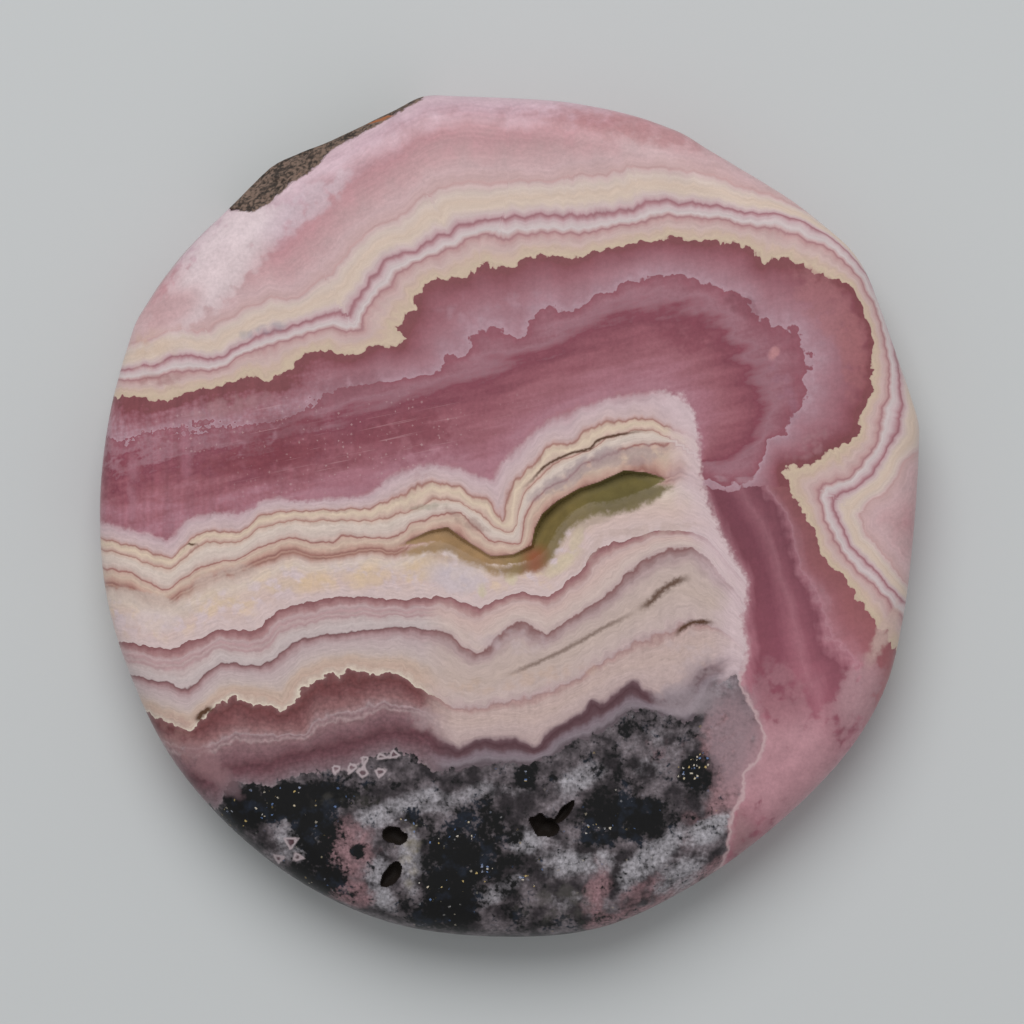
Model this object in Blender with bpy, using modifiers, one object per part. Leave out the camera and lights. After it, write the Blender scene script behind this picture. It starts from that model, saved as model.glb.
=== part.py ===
"""Rhodochrosite slice: one thick, polished slab of banded stone lying on its sawn back.

The origin is under the middle of the slab, on the surface that it rests on, and +Z is up.
Lengths are in metres. Places read off the face are written in millimetres and scaled by MM.
"""
import math

import bmesh
import bpy
from mathutils import Vector, noise

MM = 0.001

# Driving dimensions of the slab
THICKNESS = 6.4 * MM
NOMINAL_RADIUS = 23.0 * MM
FACE_CROWN = 0.7 * MM
EDGE_ROUND_REACH = 2.2 * MM
EDGE_ROUND_DROP = 1.8 * MM
BACK_INSET = 0.3 * MM
BACK_BEVEL = 0.35 * MM

# The wall leans outwards towards the back on the upper left, where it can be seen from above
FLARE_REACH = 0.75 * MM
FLARE_ANGLE = math.radians(144)
FLARE_SPREAD = math.radians(17)

# How finely the solid is faceted
STEPS_ROUND = 144
STEPS_OVER_EDGE = 4
FACE_RINGS = (6.0 * MM, 11.0 * MM, 15.0 * MM, 18.3 * MM)
BACK_RING = 12.0 * MM
OUTLINE_STEPS = 8
MERGE_DISTANCE = 0.00001

# Outer edge of the slab seen from above, anticlockwise from the right, in millimetres
OUTLINE = (
    (22.7, 4.2), (22.5, 5.8), (21.6, 8.5), (20.3, 12.2), (19.6, 13.8), (18.7, 15.0), (17.2, 16.3),
    (15.2, 17.8), (10.9, 20.4), (9.4, 21.3), (6.9, 22.2), (4.2, 22.8), (1.7, 23.1), (-3.0, 23.3),
    (-4.7, 23.3), (-6.0, 22.7), (-9.9, 20.8), (-12.1, 19.9), (-13.4, 19.1), (-14.9, 17.4),
    (-17.6, 14.4), (-20.0, 11.2), (-20.8, 9.7), (-22.1, 5.6), (-22.7, 0.9), (-22.4, -4.1),
    (-21.1, -8.6), (-18.8, -13.3), (-15.4, -17.3), (-11.2, -20.5), (-6.3, -22.6), (-0.5, -23.3),
    (5.0, -22.8), (9.9, -20.6), (14.3, -17.5), (18.3, -13.6), (20.7, -9.8), (21.8, -5.7),
    (22.4, -0.8),
)

# Rough chip along the upper left edge: its inner edge on the polished face, in millimetres,
# and how far its broken face falls at each distance outwards from that edge
CHIP_EDGE = (
    (-15.4, 16.9), (-14.2, 16.7), (-13.4, 17.1), (-12.6, 17.7), (-12.0, 18.4), (-11.1, 18.8),
    (-10.3, 19.6), (-9.7, 20.3), (-8.8, 20.7), (-7.6, 21.4), (-6.0, 22.3), (-4.7, 23.1),
)
CHIP_FALL = ((-0.25, -0.5), (0.0, 0.0), (0.35, 0.55), (0.8, 1.0), (1.3, 1.8), (2.0, 2.9), (3.4, 4.2))
CHIP_ROUGHNESS = 0.28 * MM
CHIP_GRAIN = 0.9 * MM
CHIP_HEADROOM = 3.0 * MM

# Open pocket in the middle of the face, from left to right, in millimetres: the low side where
# its floor meets the face, the overhanging side, and its depth under that side
POCKET = (
    ((-6.2, -1.8), (-6.2, -1.6), 0.04),
    ((-5.2, -1.7), (-5.3, -1.2), 0.20),
    ((-4.1, -1.6), (-4.4, -0.8), 0.32),
    ((-3.2, -1.8), (-3.4, -0.6), 0.42),
    ((-2.3, -2.3), (-2.6, -1.2), 0.42),
    ((-1.5, -2.7), (-1.8, -1.7), 0.34),
    ((-0.6, -2.9), (-1.0, -2.2), 0.26),
    ((0.3, -2.8), (0.2, -2.1), 0.30),
    ((1.4, -2.6), (1.2, -1.6), 0.50),
    ((2.2, -2.0), (1.4, -0.7), 0.80),
    ((2.8, -0.9), (1.8, 0.1), 0.90),
    ((3.5, 0.0), (2.6, 0.8), 0.75),
    ((4.5, 0.5), (3.8, 1.5), 0.60),
    ((5.6, 0.5), (5.0, 1.9), 0.60),
    ((6.7, 0.8), (6.3, 2.5), 0.75),
    ((7.8, 1.3), (7.5, 2.4), 0.45),
    ((8.7, 1.9), (8.7, 2.1), 0.04),
)
POCKET_HEADROOM = 1.0 * MM
POCKET_SHORE_RISE = 0.03 * MM

# Small natural holes: name, centre in millimetres, length, width, turn in degrees, depth
PITS = (
    ("pit_left", (-6.35, -17.6), 1.5, 0.9, -20, 0.8),
    ("pit_lower_left", (-6.5, -19.8), 1.7, 0.8, 55, 0.8),
    ("pit_middle", (1.95, -17.1), 1.7, 1.1, -25, 1.0),
    ("pit_middle_arm", (3.05, -16.3), 1.5, 0.55, 50, 0.7),
)
PIT_LUMPS = 0.18
PIT_GRAIN = 0.5
PIT_DETAIL = 2

STONE_COLOUR = (0.38, 0.16, 0.18, 1.0)
STONE_ROUGHNESS = 0.2


def empty_scene():
    for obj in list(bpy.data.objects):
        bpy.data.objects.remove(obj, do_unlink=True)


def collection_named(name):
    group = bpy.data.collections.new(name)
    bpy.context.scene.collection.children.link(group)
    return group


def object_from(name, mesh, group):
    obj = bpy.data.objects.new(name, mesh)
    group.objects.link(obj)
    return obj


def smooth_loop(points, steps):
    """Points along a Catmull-Rom curve through a closed list of points."""
    count = len(points)
    curve = []
    for i in range(count):
        before, start, end, after = (Vector(points[(i + k) % count]) for k in (-1, 0, 1, 2))
        for step in range(steps):
            t = step / steps
            curve.append(0.5 * (2 * start + (end - before) * t
                                + (2 * before - 5 * start + 4 * end - after) * t ** 2
                                + (3 * start - before - 3 * end + after) * t ** 3))
    return curve


def rim_radii():
    """Distance from the middle to the slab's outer edge, one for each facet round it."""
    curve = smooth_loop([Vector(point) * MM for point in OUTLINE], OUTLINE_STEPS)
    polar = sorted((math.atan2(p.y, p.x) % math.tau, p.length) for p in curve)
    polar = [(polar[-1][0] - math.tau, polar[-1][1])] + polar + [(polar[0][0] + math.tau, polar[0][1])]
    radii = []
    for step in range(STEPS_ROUND):
        angle = math.tau * step / STEPS_ROUND
        after = next(i for i, (a, _) in enumerate(polar) if a > angle)
        (a0, r0), (a1, r1) = polar[after - 1], polar[after]
        radii.append(r0 + (r1 - r0) * (angle - a0) / (a1 - a0))
    return radii


def face_height(radius):
    """Height of the polished face at a distance from the middle of a round slab."""
    crown = FACE_CROWN * (radius / NOMINAL_RADIUS) ** 2
    into_edge = max(0.0, radius - (NOMINAL_RADIUS - EDGE_ROUND_REACH)) / EDGE_ROUND_REACH
    drop = EDGE_ROUND_DROP * (1 - math.sqrt(max(0.0, 1 - into_edge ** 2)))
    return THICKNESS - crown - drop


def slab_profile():
    """Half section of the slab, from the middle of the face down its side to the back."""
    profile = [(radius, face_height(radius)) for radius in (0.0,) + FACE_RINGS]
    for step in range(STEPS_OVER_EDGE + 1):
        turn = math.pi / 2 * step / STEPS_OVER_EDGE
        radius = NOMINAL_RADIUS - EDGE_ROUND_REACH * (1 - math.sin(turn))
        profile.append((radius, face_height(radius)))
    profile.append((NOMINAL_RADIUS - BACK_INSET, BACK_BEVEL))
    profile.append((NOMINAL_RADIUS - BACK_INSET - BACK_BEVEL, 0.0))
    profile.append((BACK_RING, 0.0))
    profile.append((0.0, 0.0))
    return profile


def turned_slab(group):
    """The half section turned into a round slab."""
    mesh = bpy.data.meshes.new("slab_profile")
    points = slab_profile()
    edges = [(i, i + 1) for i in range(len(points) - 1)]
    mesh.from_pydata([(x, 0.0, z) for x, z in points], edges, [])
    slab = object_from("rhodochrosite_slice", mesh, group)
    screw = slab.modifiers.new("turned", "SCREW")
    screw.axis = "Z"
    screw.angle = math.tau
    screw.steps = STEPS_ROUND
    screw.render_steps = STEPS_ROUND
    screw.use_merge_vertices = True
    screw.merge_threshold = MERGE_DISTANCE
    bpy.context.view_layer.update()
    turned = bpy.data.meshes.new_from_object(slab.evaluated_get(bpy.context.evaluated_depsgraph_get()))
    slab.modifiers.remove(screw)
    slab.data = turned
    bpy.data.meshes.remove(mesh)
    return slab


def flare_at(angle, height):
    """How far the wall stands out at an angle: most at the back, none at the face."""
    turn = (angle - FLARE_ANGLE + math.pi) % math.tau - math.pi
    lowness = 1 - height / (THICKNESS - FACE_CROWN)
    return FLARE_REACH * math.exp(-(turn / FLARE_SPREAD) ** 2) * min(1.0, max(0.0, lowness * 1.8))


def ease_to_outline(slab):
    """Pull the round slab out to the stone's own outline, and centre it on the origin."""
    radii = rim_radii()
    edit = bmesh.new()
    edit.from_mesh(slab.data)
    bmesh.ops.remove_doubles(edit, verts=edit.verts, dist=MERGE_DISTANCE)
    for vertex in edit.verts:
        radius = math.hypot(vertex.co.x, vertex.co.y)
        angle = math.atan2(vertex.co.y, vertex.co.x) % math.tau
        step = round(angle / math.tau * STEPS_ROUND) % STEPS_ROUND
        share = radius / NOMINAL_RADIUS
        wider = radii[step] * share + flare_at(angle, vertex.co.z) * share ** 4
        vertex.co.x = wider * math.cos(angle)
        vertex.co.y = wider * math.sin(angle)
    for axis in (0, 1):
        values = [vertex.co[axis] for vertex in edit.verts]
        middle = (min(values) + max(values)) / 2
        for vertex in edit.verts:
            vertex.co[axis] -= middle
    edit.to_mesh(slab.data)
    edit.free()


def height_at(x, y):
    """Height of the polished face over a point, before anything is cut from it."""
    radii = rim_radii()
    angle = math.atan2(y, x) % math.tau
    rim = radii[round(angle / math.tau * STEPS_ROUND) % STEPS_ROUND]
    return face_height(min(1.0, math.hypot(x, y) / rim) * NOMINAL_RADIUS)


def loft(name, sections, group):
    """A closed solid through a row of closed sections that have equal numbers of points."""
    edit = bmesh.new()
    rings = [[edit.verts.new(point) for point in section] for section in sections]
    for ring, following in zip(rings, rings[1:]):
        for i in range(len(ring)):
            j = (i + 1) % len(ring)
            edit.faces.new((ring[i], ring[j], following[j], following[i]))
    edit.faces.new(list(reversed(rings[0])))
    edit.faces.new(rings[-1])
    bmesh.ops.triangulate(edit, faces=edit.faces)
    bmesh.ops.recalc_face_normals(edit, faces=edit.faces)
    mesh = bpy.data.meshes.new(name)
    edit.to_mesh(mesh)
    edit.free()
    return object_from(name, mesh, group)


def chip_cutter(group):
    """The broken-off corner: a rough face that falls away outwards, and the space over it."""
    sections = []
    last = len(CHIP_EDGE) - 1
    for i, (x, y) in enumerate(CHIP_EDGE):
        edge = Vector((x, y, 0)) * MM
        outwards = edge.normalized()
        top = height_at(edge.x, edge.y)
        bite = min(1.0, 0.35 + 0.3 * min(i, last - i))
        section = []
        for out, fall in CHIP_FALL:
            point = edge + outwards * out * MM
            rough = noise.noise(point / CHIP_GRAIN) * CHIP_ROUGHNESS if out > 0 else 0.0
            point.z = top - fall * MM * bite + rough
            section.append(point)
        for out, _ in (CHIP_FALL[-1], CHIP_FALL[0]):
            point = edge + outwards * out * MM
            point.z = THICKNESS + CHIP_HEADROOM
            section.append(point)
        sections.append(section)
    return loft("chip", sections, group)


def pocket_cutter(group):
    """The pocket: a floor that slopes down from one side to an overhanging edge."""
    sections = []
    for shore, lip, depth in POCKET:
        shore = Vector((shore[0], shore[1], 0)) * MM
        lip = Vector((lip[0], lip[1], 0)) * MM
        shore_height = height_at(shore.x, shore.y) + POCKET_SHORE_RISE
        lip_height = height_at(lip.x, lip.y)
        middle = shore.lerp(lip, 0.45)
        sections.append((
            Vector((shore.x, shore.y, shore_height)),
            Vector((middle.x, middle.y, lip_height - depth * MM * 0.55)),
            Vector((lip.x, lip.y, lip_height - depth * MM)),
            Vector((lip.x, lip.y, lip_height + POCKET_HEADROOM)),
            Vector((shore.x, shore.y, lip_height + POCKET_HEADROOM)),
        ))
    return loft("pocket", sections, group)


def pit_cutter(name, centre, length, width, turn, depth, group):
    """A lumpy hole, cut by the lower half of a ball of uneven shape."""
    edit = bmesh.new()
    bmesh.ops.create_icosphere(edit, subdivisions=PIT_DETAIL, radius=1.0)
    x, y = (value * MM for value in centre)
    top = height_at(x, y)
    cos, sin = math.cos(math.radians(turn)), math.sin(math.radians(turn))
    for vertex in edit.verts:
        lump = 1 + PIT_LUMPS * noise.noise(vertex.co / PIT_GRAIN + Vector(centre).to_3d())
        along = vertex.co.x * lump * length / 2 * MM
        across = vertex.co.y * lump * width / 2 * MM
        height = vertex.co.z * lump * depth * MM
        vertex.co = (x + along * cos - across * sin, y + along * sin + across * cos, top + height)
    mesh = bpy.data.meshes.new(name)
    edit.to_mesh(mesh)
    edit.free()
    return object_from(name, mesh, group)


def cut(slab, cutter):
    cutter.hide_render = True
    cutter.display_type = "WIRE"
    boolean = slab.modifiers.new(cutter.name, "BOOLEAN")
    boolean.operation = "DIFFERENCE"
    boolean.solver = "EXACT"
    boolean.object = cutter


def stone_material():
    material = bpy.data.materials.new("polished_rhodochrosite")
    material.use_nodes = True
    shader = material.node_tree.nodes["Principled BSDF"]
    shader.inputs["Base Color"].default_value = STONE_COLOUR
    shader.inputs["Roughness"].default_value = STONE_ROUGHNESS
    shader.inputs["Metallic"].default_value = 0.0
    return material


empty_scene()
parts = collection_named("rhodochrosite slice")
cutters = collection_named("cutters")

stone = turned_slab(parts)
ease_to_outline(stone)
stone.data.shade_smooth()
stone.data.set_sharp_from_angle(angle=math.radians(40))
stone.data.materials.clear()
stone.data.materials.append(stone_material())

cut(stone, chip_cutter(cutters))
cut(stone, pocket_cutter(cutters))
for pit in PITS:
    cut(stone, pit_cutter(*pit, cutters))
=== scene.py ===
import math

import bmesh
import bpy
import numpy as np
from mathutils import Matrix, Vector, noise


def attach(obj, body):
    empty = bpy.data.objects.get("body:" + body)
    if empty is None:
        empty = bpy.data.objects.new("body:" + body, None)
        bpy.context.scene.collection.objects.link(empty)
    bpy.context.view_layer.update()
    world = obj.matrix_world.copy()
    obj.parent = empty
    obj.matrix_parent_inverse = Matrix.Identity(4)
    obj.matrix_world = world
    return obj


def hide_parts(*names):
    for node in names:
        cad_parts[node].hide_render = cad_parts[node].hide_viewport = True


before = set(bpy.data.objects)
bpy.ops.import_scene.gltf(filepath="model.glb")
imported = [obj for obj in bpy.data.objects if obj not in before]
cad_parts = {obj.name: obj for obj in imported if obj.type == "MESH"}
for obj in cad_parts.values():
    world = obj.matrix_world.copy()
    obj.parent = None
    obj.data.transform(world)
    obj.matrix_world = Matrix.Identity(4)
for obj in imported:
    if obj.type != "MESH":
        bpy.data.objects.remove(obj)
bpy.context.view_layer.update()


# The slab. One piece of banded stone, sawn flat behind and ground to a slightly domed face with a
# rounded edge. Its outline comes from the solid in the frame. Lengths here are in millimetres.
MM = 0.001
THICKNESS = 6.4
NOMINAL_RADIUS = 23.0
FACE_CROWN = 0.7
EDGE_ROUND_REACH = 2.2
EDGE_ROUND_DROP = 1.8
BACK_INSET = 0.3
BACK_BEVEL = 0.35
FLARE_REACH = 0.75
FLARE_ANGLE = math.radians(144)
FLARE_SPREAD = math.radians(17)
FLARE_STEEPNESS = 1.8
FLARE_FADE = 4
EDGE_HEIGHT = THICKNESS - FACE_CROWN - EDGE_ROUND_DROP

FACE_CELLS = 236
BACK_CELLS = FACE_CELLS // 2
WALL_ROWS = 9
RIM_READINGS = 144
RIM_STEPS = 10 * RIM_READINGS
CAD_TOLERANCE = 0.02
TINY = 1e-9
SHARP_EDGE = math.radians(38)

# The broken corner: its inner edge on the face, and its fall at each distance out from there
CHIP_EDGE = np.array((
    (-15.4, 16.9), (-14.2, 16.7), (-13.4, 17.1), (-12.6, 17.7), (-12.0, 18.4), (-11.1, 18.8),
    (-10.3, 19.6), (-9.7, 20.3), (-8.8, 20.7), (-7.6, 21.4), (-6.0, 22.3), (-4.7, 23.1),
))
CHIP_FALL = np.array(((0.0, 0.0), (0.35, 0.55), (0.8, 1.0), (1.3, 1.8), (2.0, 2.9), (3.4, 4.2)))
CHIP_END_BITE = 0.35
CHIP_BITE_GROWTH = 0.3
CHIP_ROUGHNESS = 0.28
CHIP_GRAIN = 0.9
CHIP_FINE_GRAIN = CHIP_GRAIN / 3

# The pocket, left to right: the low side of its floor, its overhanging side, its depth there
POCKET = (
    ((-6.2, -1.8), (-6.2, -1.6), 0.04),
    ((-5.2, -1.7), (-5.3, -1.2), 0.20),
    ((-4.1, -1.6), (-4.4, -0.8), 0.32),
    ((-3.2, -1.8), (-3.4, -0.6), 0.42),
    ((-2.3, -2.3), (-2.6, -1.2), 0.42),
    ((-1.5, -2.7), (-1.8, -1.7), 0.34),
    ((-0.6, -2.9), (-1.0, -2.2), 0.26),
    ((0.3, -2.8), (0.2, -2.1), 0.30),
    ((1.4, -2.6), (1.2, -1.6), 0.50),
    ((2.2, -2.0), (1.4, -0.7), 0.80),
    ((2.8, -0.9), (1.8, 0.1), 0.90),
    ((3.5, 0.0), (2.6, 0.8), 0.75),
    ((4.5, 0.5), (3.8, 1.5), 0.60),
    ((5.6, 0.5), (5.0, 1.9), 0.60),
    ((6.7, 0.8), (6.3, 2.5), 0.75),
    ((7.8, 1.3), (7.5, 2.4), 0.45),
    ((8.7, 1.9), (8.7, 2.1), 0.04),
)
POCKET_FLOOR = ((0.0, 0.0), (0.2, 0.08), (0.5, 0.55), (1.0, 1.0))
LIP_WIDTH = 0.16

# Small natural holes: centre, length, width, turn in degrees, depth
PITS = (
    ((-6.35, -17.6), 1.5, 0.9, -20, 0.8),
    ((-6.5, -19.8), 1.7, 0.8, 55, 0.8),
    ((1.95, -17.1), 1.7, 1.1, -25, 1.0),
    ((3.05, -16.3), 1.5, 0.55, 50, 0.7),
)
PIT_LUMPS = 0.3
PIT_GRAIN = 0.45


def flare_at(angle, height):
    """How far the wall leans out past the rim, on the side where it does."""
    turn = (angle - FLARE_ANGLE + np.pi) % math.tau - np.pi
    lowness = 1 - height / (THICKNESS - FACE_CROWN)
    return FLARE_REACH * np.exp(-(turn / FLARE_SPREAD) ** 2) * np.clip(lowness * FLARE_STEEPNESS, 0, 1)


def rim_from_solid(solid):
    """Distance from the middle to the slab's edge at even steps of angle, smoothly read from
    the ring of points round the foot of the solid's wall."""
    points = np.array([vertex.co for vertex in solid.data.vertices]) / MM
    foot = points[np.abs(points[:, 2] - BACK_BEVEL) < CAD_TOLERANCE]
    angle = np.arctan2(foot[:, 1], foot[:, 0]) % math.tau
    share = (NOMINAL_RADIUS - BACK_INSET) / NOMINAL_RADIUS
    radius = np.hypot(foot[:, 0], foot[:, 1]) - flare_at(angle, BACK_BEVEL) * share ** FLARE_FADE
    order = np.argsort(angle)
    even = np.arange(RIM_READINGS) * math.tau / RIM_READINGS
    ring = np.interp(even, angle[order], radius[order] / share, period=math.tau)
    waves = np.fft.rfft(ring)
    return np.fft.irfft(waves, RIM_STEPS) * (RIM_STEPS / RIM_READINGS)


def disc_grid(cells):
    """A square grid eased into a disc of radius 1: its points, faces and anticlockwise edge."""
    side = np.linspace(-1, 1, cells + 1)
    u, v = np.meshgrid(side, side)
    round_u = u * np.sqrt(1 - v ** 2 / 2)
    round_v = v * np.sqrt(1 - u ** 2 / 2)
    points = np.stack((round_u.ravel(), round_v.ravel()), 1)
    index = np.arange(points.shape[0]).reshape(cells + 1, cells + 1)
    faces = np.stack((index[:-1, :-1], index[:-1, 1:], index[1:, 1:], index[1:, :-1]), -1).reshape(-1, 4)
    edge = np.concatenate((index[0, :-1], index[:-1, -1], index[-1, :0:-1], index[:0:-1, 0]))
    return points, faces, edge


def face_drop(share):
    """How far the polished face lies below the middle of the slab, at a share of the radius."""
    into_edge = np.clip((share - 1) * NOMINAL_RADIUS / EDGE_ROUND_REACH + 1, 0, 1)
    return FACE_CROWN * share ** 2 + EDGE_ROUND_DROP * (1 - np.sqrt(1 - into_edge ** 2))


def rim_at(rim, angle):
    return np.interp(angle, np.arange(RIM_STEPS) * math.tau / RIM_STEPS, rim, period=math.tau)


def around(radius, angle, height):
    """Points at a distance and an angle from the middle, at a height."""
    return np.column_stack((radius * np.cos(angle), radius * np.sin(angle), height))


def rough_at(points, grain):
    """Uneven height, from -1 to 1, at points on the face."""
    return np.array([noise.noise(Vector((x / grain, y / grain, 0.0))) for x, y in points])


def inside(points, outline):
    """Which points lie inside a closed outline."""
    within = np.zeros(len(points), bool)
    for (x0, y0), (x1, y1) in zip(outline, np.roll(outline, -1, axis=0)):
        if y0 != y1:
            spans = (points[:, 1] >= min(y0, y1)) & (points[:, 1] < max(y0, y1))
            within ^= spans & (points[:, 0] < x0 + (points[:, 1] - y0) * (x1 - x0) / (y1 - y0))
    return within


def nearest(points, line):
    """Distance from each point to a line of points, and how far along the line that is."""
    best = np.full(len(points), np.inf)
    along = np.zeros(len(points))
    travelled = 0.0
    for start, end in zip(line[:-1], line[1:]):
        run = end - start
        length = np.hypot(*run)
        share = np.clip((points - start) @ run / max(length, TINY) ** 2, 0, 1)
        gap = points - start - share[:, None] * run
        distance = np.hypot(gap[:, 0], gap[:, 1])
        closer = distance < best
        best[closer] = distance[closer]
        along[closer] = travelled + share[closer] * length
        travelled += length
    return best, along


def chip_surface(points, rim):
    """Height of the broken face over each point, far above the slab where nothing is broken, and
    how far the point lies out from the break's inner edge."""
    edge_angle = np.arctan2(CHIP_EDGE[:, 1], CHIP_EDGE[:, 0])[::-1]
    edge_radius = np.hypot(CHIP_EDGE[:, 0], CHIP_EDGE[:, 1])[::-1]
    station = np.arange(len(CHIP_EDGE))
    bite = np.minimum(1.0, CHIP_END_BITE + CHIP_BITE_GROWTH * np.minimum(station, station[::-1]))
    angle = np.arctan2(points[:, 1], points[:, 0])
    start = np.interp(angle, edge_angle, edge_radius)
    out = np.hypot(points[:, 0], points[:, 1]) - start
    out[(angle < edge_angle[0]) | (angle > edge_angle[-1])] = -1.0
    fall = np.interp(out, CHIP_FALL[:, 0], CHIP_FALL[:, 1]) * np.interp(angle, edge_angle, bite)
    height = np.full(len(points), THICKNESS * 2)
    broken = out > 0
    rough = rough_at(points[broken], CHIP_GRAIN) + 0.5 * rough_at(points[broken], CHIP_FINE_GRAIN)
    top = THICKNESS - face_drop(np.minimum(1.0, start / rim_at(rim, angle)))
    height[broken] = (top - fall)[broken] + rough * CHIP_ROUGHNESS
    return height, out


POCKET_SHORE, POCKET_LIP, POCKET_DEEP = (np.array(part) for part in zip(*POCKET))
POCKET_OUTLINE = np.concatenate((POCKET_SHORE, POCKET_LIP[::-1]))


def pocket_depth(points):
    """Depth of the open pocket under the face at each point."""
    within = inside(points, POCKET_OUTLINE)
    to_shore, _ = nearest(points[within], POCKET_SHORE)
    to_lip, along = nearest(points[within], POCKET_LIP)
    stations = np.concatenate(((0.0,), np.cumsum(np.hypot(*np.diff(POCKET_LIP, axis=0).T))))
    floor = np.interp(to_shore / (to_shore + to_lip + TINY), *zip(*POCKET_FLOOR))
    under_lip = np.clip(to_lip / LIP_WIDTH, 0, 1)
    depth = np.zeros(len(points))
    depth[within] = floor * under_lip * np.interp(along, stations, POCKET_DEEP)
    return depth


def oval_reach(points, middle, length, width, turn):
    """Distance from the middle of an oval, 1 at its edge."""
    cos, sin = math.cos(math.radians(turn)), math.sin(math.radians(turn))
    offset = points - middle
    along = (offset[:, 0] * cos + offset[:, 1] * sin) / (length / 2)
    across = (offset[:, 1] * cos - offset[:, 0] * sin) / (width / 2)
    return np.hypot(along, across)


def pit_depth(points):
    """Depth of the small holes under the face at each point."""
    depth = np.zeros(len(points))
    for *oval, deep in PITS:
        reach = oval_reach(points, *oval)
        near = reach < 1 + PIT_LUMPS
        reach[near] += PIT_LUMPS * rough_at(points[near], PIT_GRAIN)
        depth = np.maximum(depth, deep * np.sqrt(np.clip(1 - reach ** 2, 0, 1)))
    return depth


def hollow_at(points):
    return pocket_depth(points) + pit_depth(points)


def smooth_slab(rim):
    """Points and faces of the slab before anything is broken from it: face, wall and back."""
    grid, face_quads, face_edge = disc_grid(FACE_CELLS)
    angle = np.arctan2(grid[:, 1], grid[:, 0]) % math.tau
    distance = np.hypot(grid[:, 0], grid[:, 1])
    flat = (NOMINAL_RADIUS - EDGE_ROUND_REACH) / NOMINAL_RADIUS
    flat_part = flat / (flat + EDGE_ROUND_REACH / NOMINAL_RADIUS * math.pi / 2)
    over_edge = np.clip((distance - flat_part) / (1 - flat_part), 0, 1) * math.pi / 2
    share = np.where(distance < flat_part, distance / flat_part * flat,
                     flat + (1 - flat) * np.sin(over_edge))
    height = THICKNESS - face_drop(np.minimum(share, 1.0))
    radius = share * rim_at(rim, angle) + flare_at(angle, height) * share ** FLARE_FADE
    face = around(radius, angle, height)

    edge_angle = angle[face_edge]
    edge_rim = rim_at(rim, edge_angle)
    rows = []
    for row in range(1, WALL_ROWS + 1):
        down = row / WALL_ROWS
        z = EDGE_HEIGHT + (BACK_BEVEL - EDGE_HEIGHT) * down
        wall_share = 1 - BACK_INSET / NOMINAL_RADIUS * down
        wall_radius = wall_share * edge_rim + flare_at(edge_angle, z) * wall_share ** FLARE_FADE
        rows.append(around(wall_radius, edge_angle, np.full(len(edge_angle), z)))

    grid, back_quads, back_edge = disc_grid(BACK_CELLS)
    angle = np.arctan2(grid[:, 1], grid[:, 0]) % math.tau
    share = np.hypot(grid[:, 0], grid[:, 1]) * (1 - (BACK_INSET + BACK_BEVEL) / NOMINAL_RADIUS)
    radius = share * rim_at(rim, angle) + flare_at(angle, 0.0) * share ** FLARE_FADE
    back = around(radius, angle, np.zeros(len(grid)))

    points = np.concatenate([face] + rows + [back])
    ring = face_edge
    faces = face_quads.tolist()
    for row in range(WALL_ROWS):
        below = len(face) + row * len(face_edge) + np.arange(len(face_edge))
        faces += np.stack((below, np.roll(below, -1), np.roll(ring, -1), ring), 1).tolist()
        ring = below
    back_start = len(points) - len(back)
    foot = back_edge + back_start
    next_ring, second_ring = np.roll(ring, -1), np.roll(ring, -2)
    faces += np.stack((foot, np.roll(foot, -1), second_ring[::2], next_ring[::2], ring[::2]), 1).tolist()
    faces += (back_quads[:, ::-1] + back_start).tolist()
    return points, faces


def mesh_places(mesh):
    """The mesh's points in millimetres."""
    flat = np.empty(len(mesh.vertices) * 3, np.float32)
    mesh.vertices.foreach_get("co", flat)
    return flat.reshape(-1, 3).astype(float) / MM


def split_finer(mesh, wanted, cuts):
    """Divides the faces round the wanted points, and the faces next to them."""
    form = bmesh.new()
    form.from_mesh(mesh)
    form.verts.ensure_lookup_table()
    faces = {face for number in np.flatnonzero(wanted) for face in form.verts[number].link_faces}
    near = {edge for face in faces for corner in face.verts for edge in corner.link_edges}
    bmesh.ops.subdivide_edges(form, edges=list(near), cuts=cuts, use_grid_fill=True)
    form.to_mesh(mesh)
    form.free()


rim = rim_from_solid(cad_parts["rhodochrosite_slice"])
points, faces = smooth_slab(rim)
slab_mesh = bpy.data.meshes.new("banded_slab")
slab_mesh.from_pydata((points * MM).tolist(), [], faces)
on_face = points[:, 2] > EDGE_HEIGHT - CAD_TOLERANCE
_, chip_out = chip_surface(points[:, :2], rim)
split_finer(slab_mesh, on_face & ((hollow_at(points[:, :2]) > 0) | (chip_out > 0)), 2)

# The broken corner lowers the face and the wall under it; the hollows lower the face alone
points = mesh_places(slab_mesh)
on_face = points[:, 2] > EDGE_HEIGHT - CAD_TOLERANCE
chipped, chip_out = chip_surface(points[:, :2], rim)
angle = np.arctan2(points[:, 1], points[:, 0]) % math.tau
edge_places = around(rim_at(rim, angle) + flare_at(angle, EDGE_HEIGHT), angle, points[:, 2])[:, :2]
edge_left = np.minimum(EDGE_HEIGHT, chip_surface(edge_places, rim)[0])
wall_share = (edge_left - BACK_BEVEL) / (EDGE_HEIGHT - BACK_BEVEL)
wall_left = BACK_BEVEL + (points[:, 2] - BACK_BEVEL) * wall_share
hollow_depth = np.where(on_face, hollow_at(points[:, :2]), 0)
on_wall = ~on_face & (points[:, 2] > BACK_BEVEL)
points[:, 2] = np.where(on_face, np.minimum(points[:, 2], chipped) - hollow_depth,
                        np.where(on_wall, wall_left, points[:, 2]))
slab_mesh.vertices.foreach_set("co", (points * MM).astype(np.float32).ravel())
slab_mesh.shade_smooth()
slab_mesh.set_sharp_from_angle(angle=SHARP_EDGE)
slab = bpy.data.objects.new("banded_slab", slab_mesh)
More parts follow.
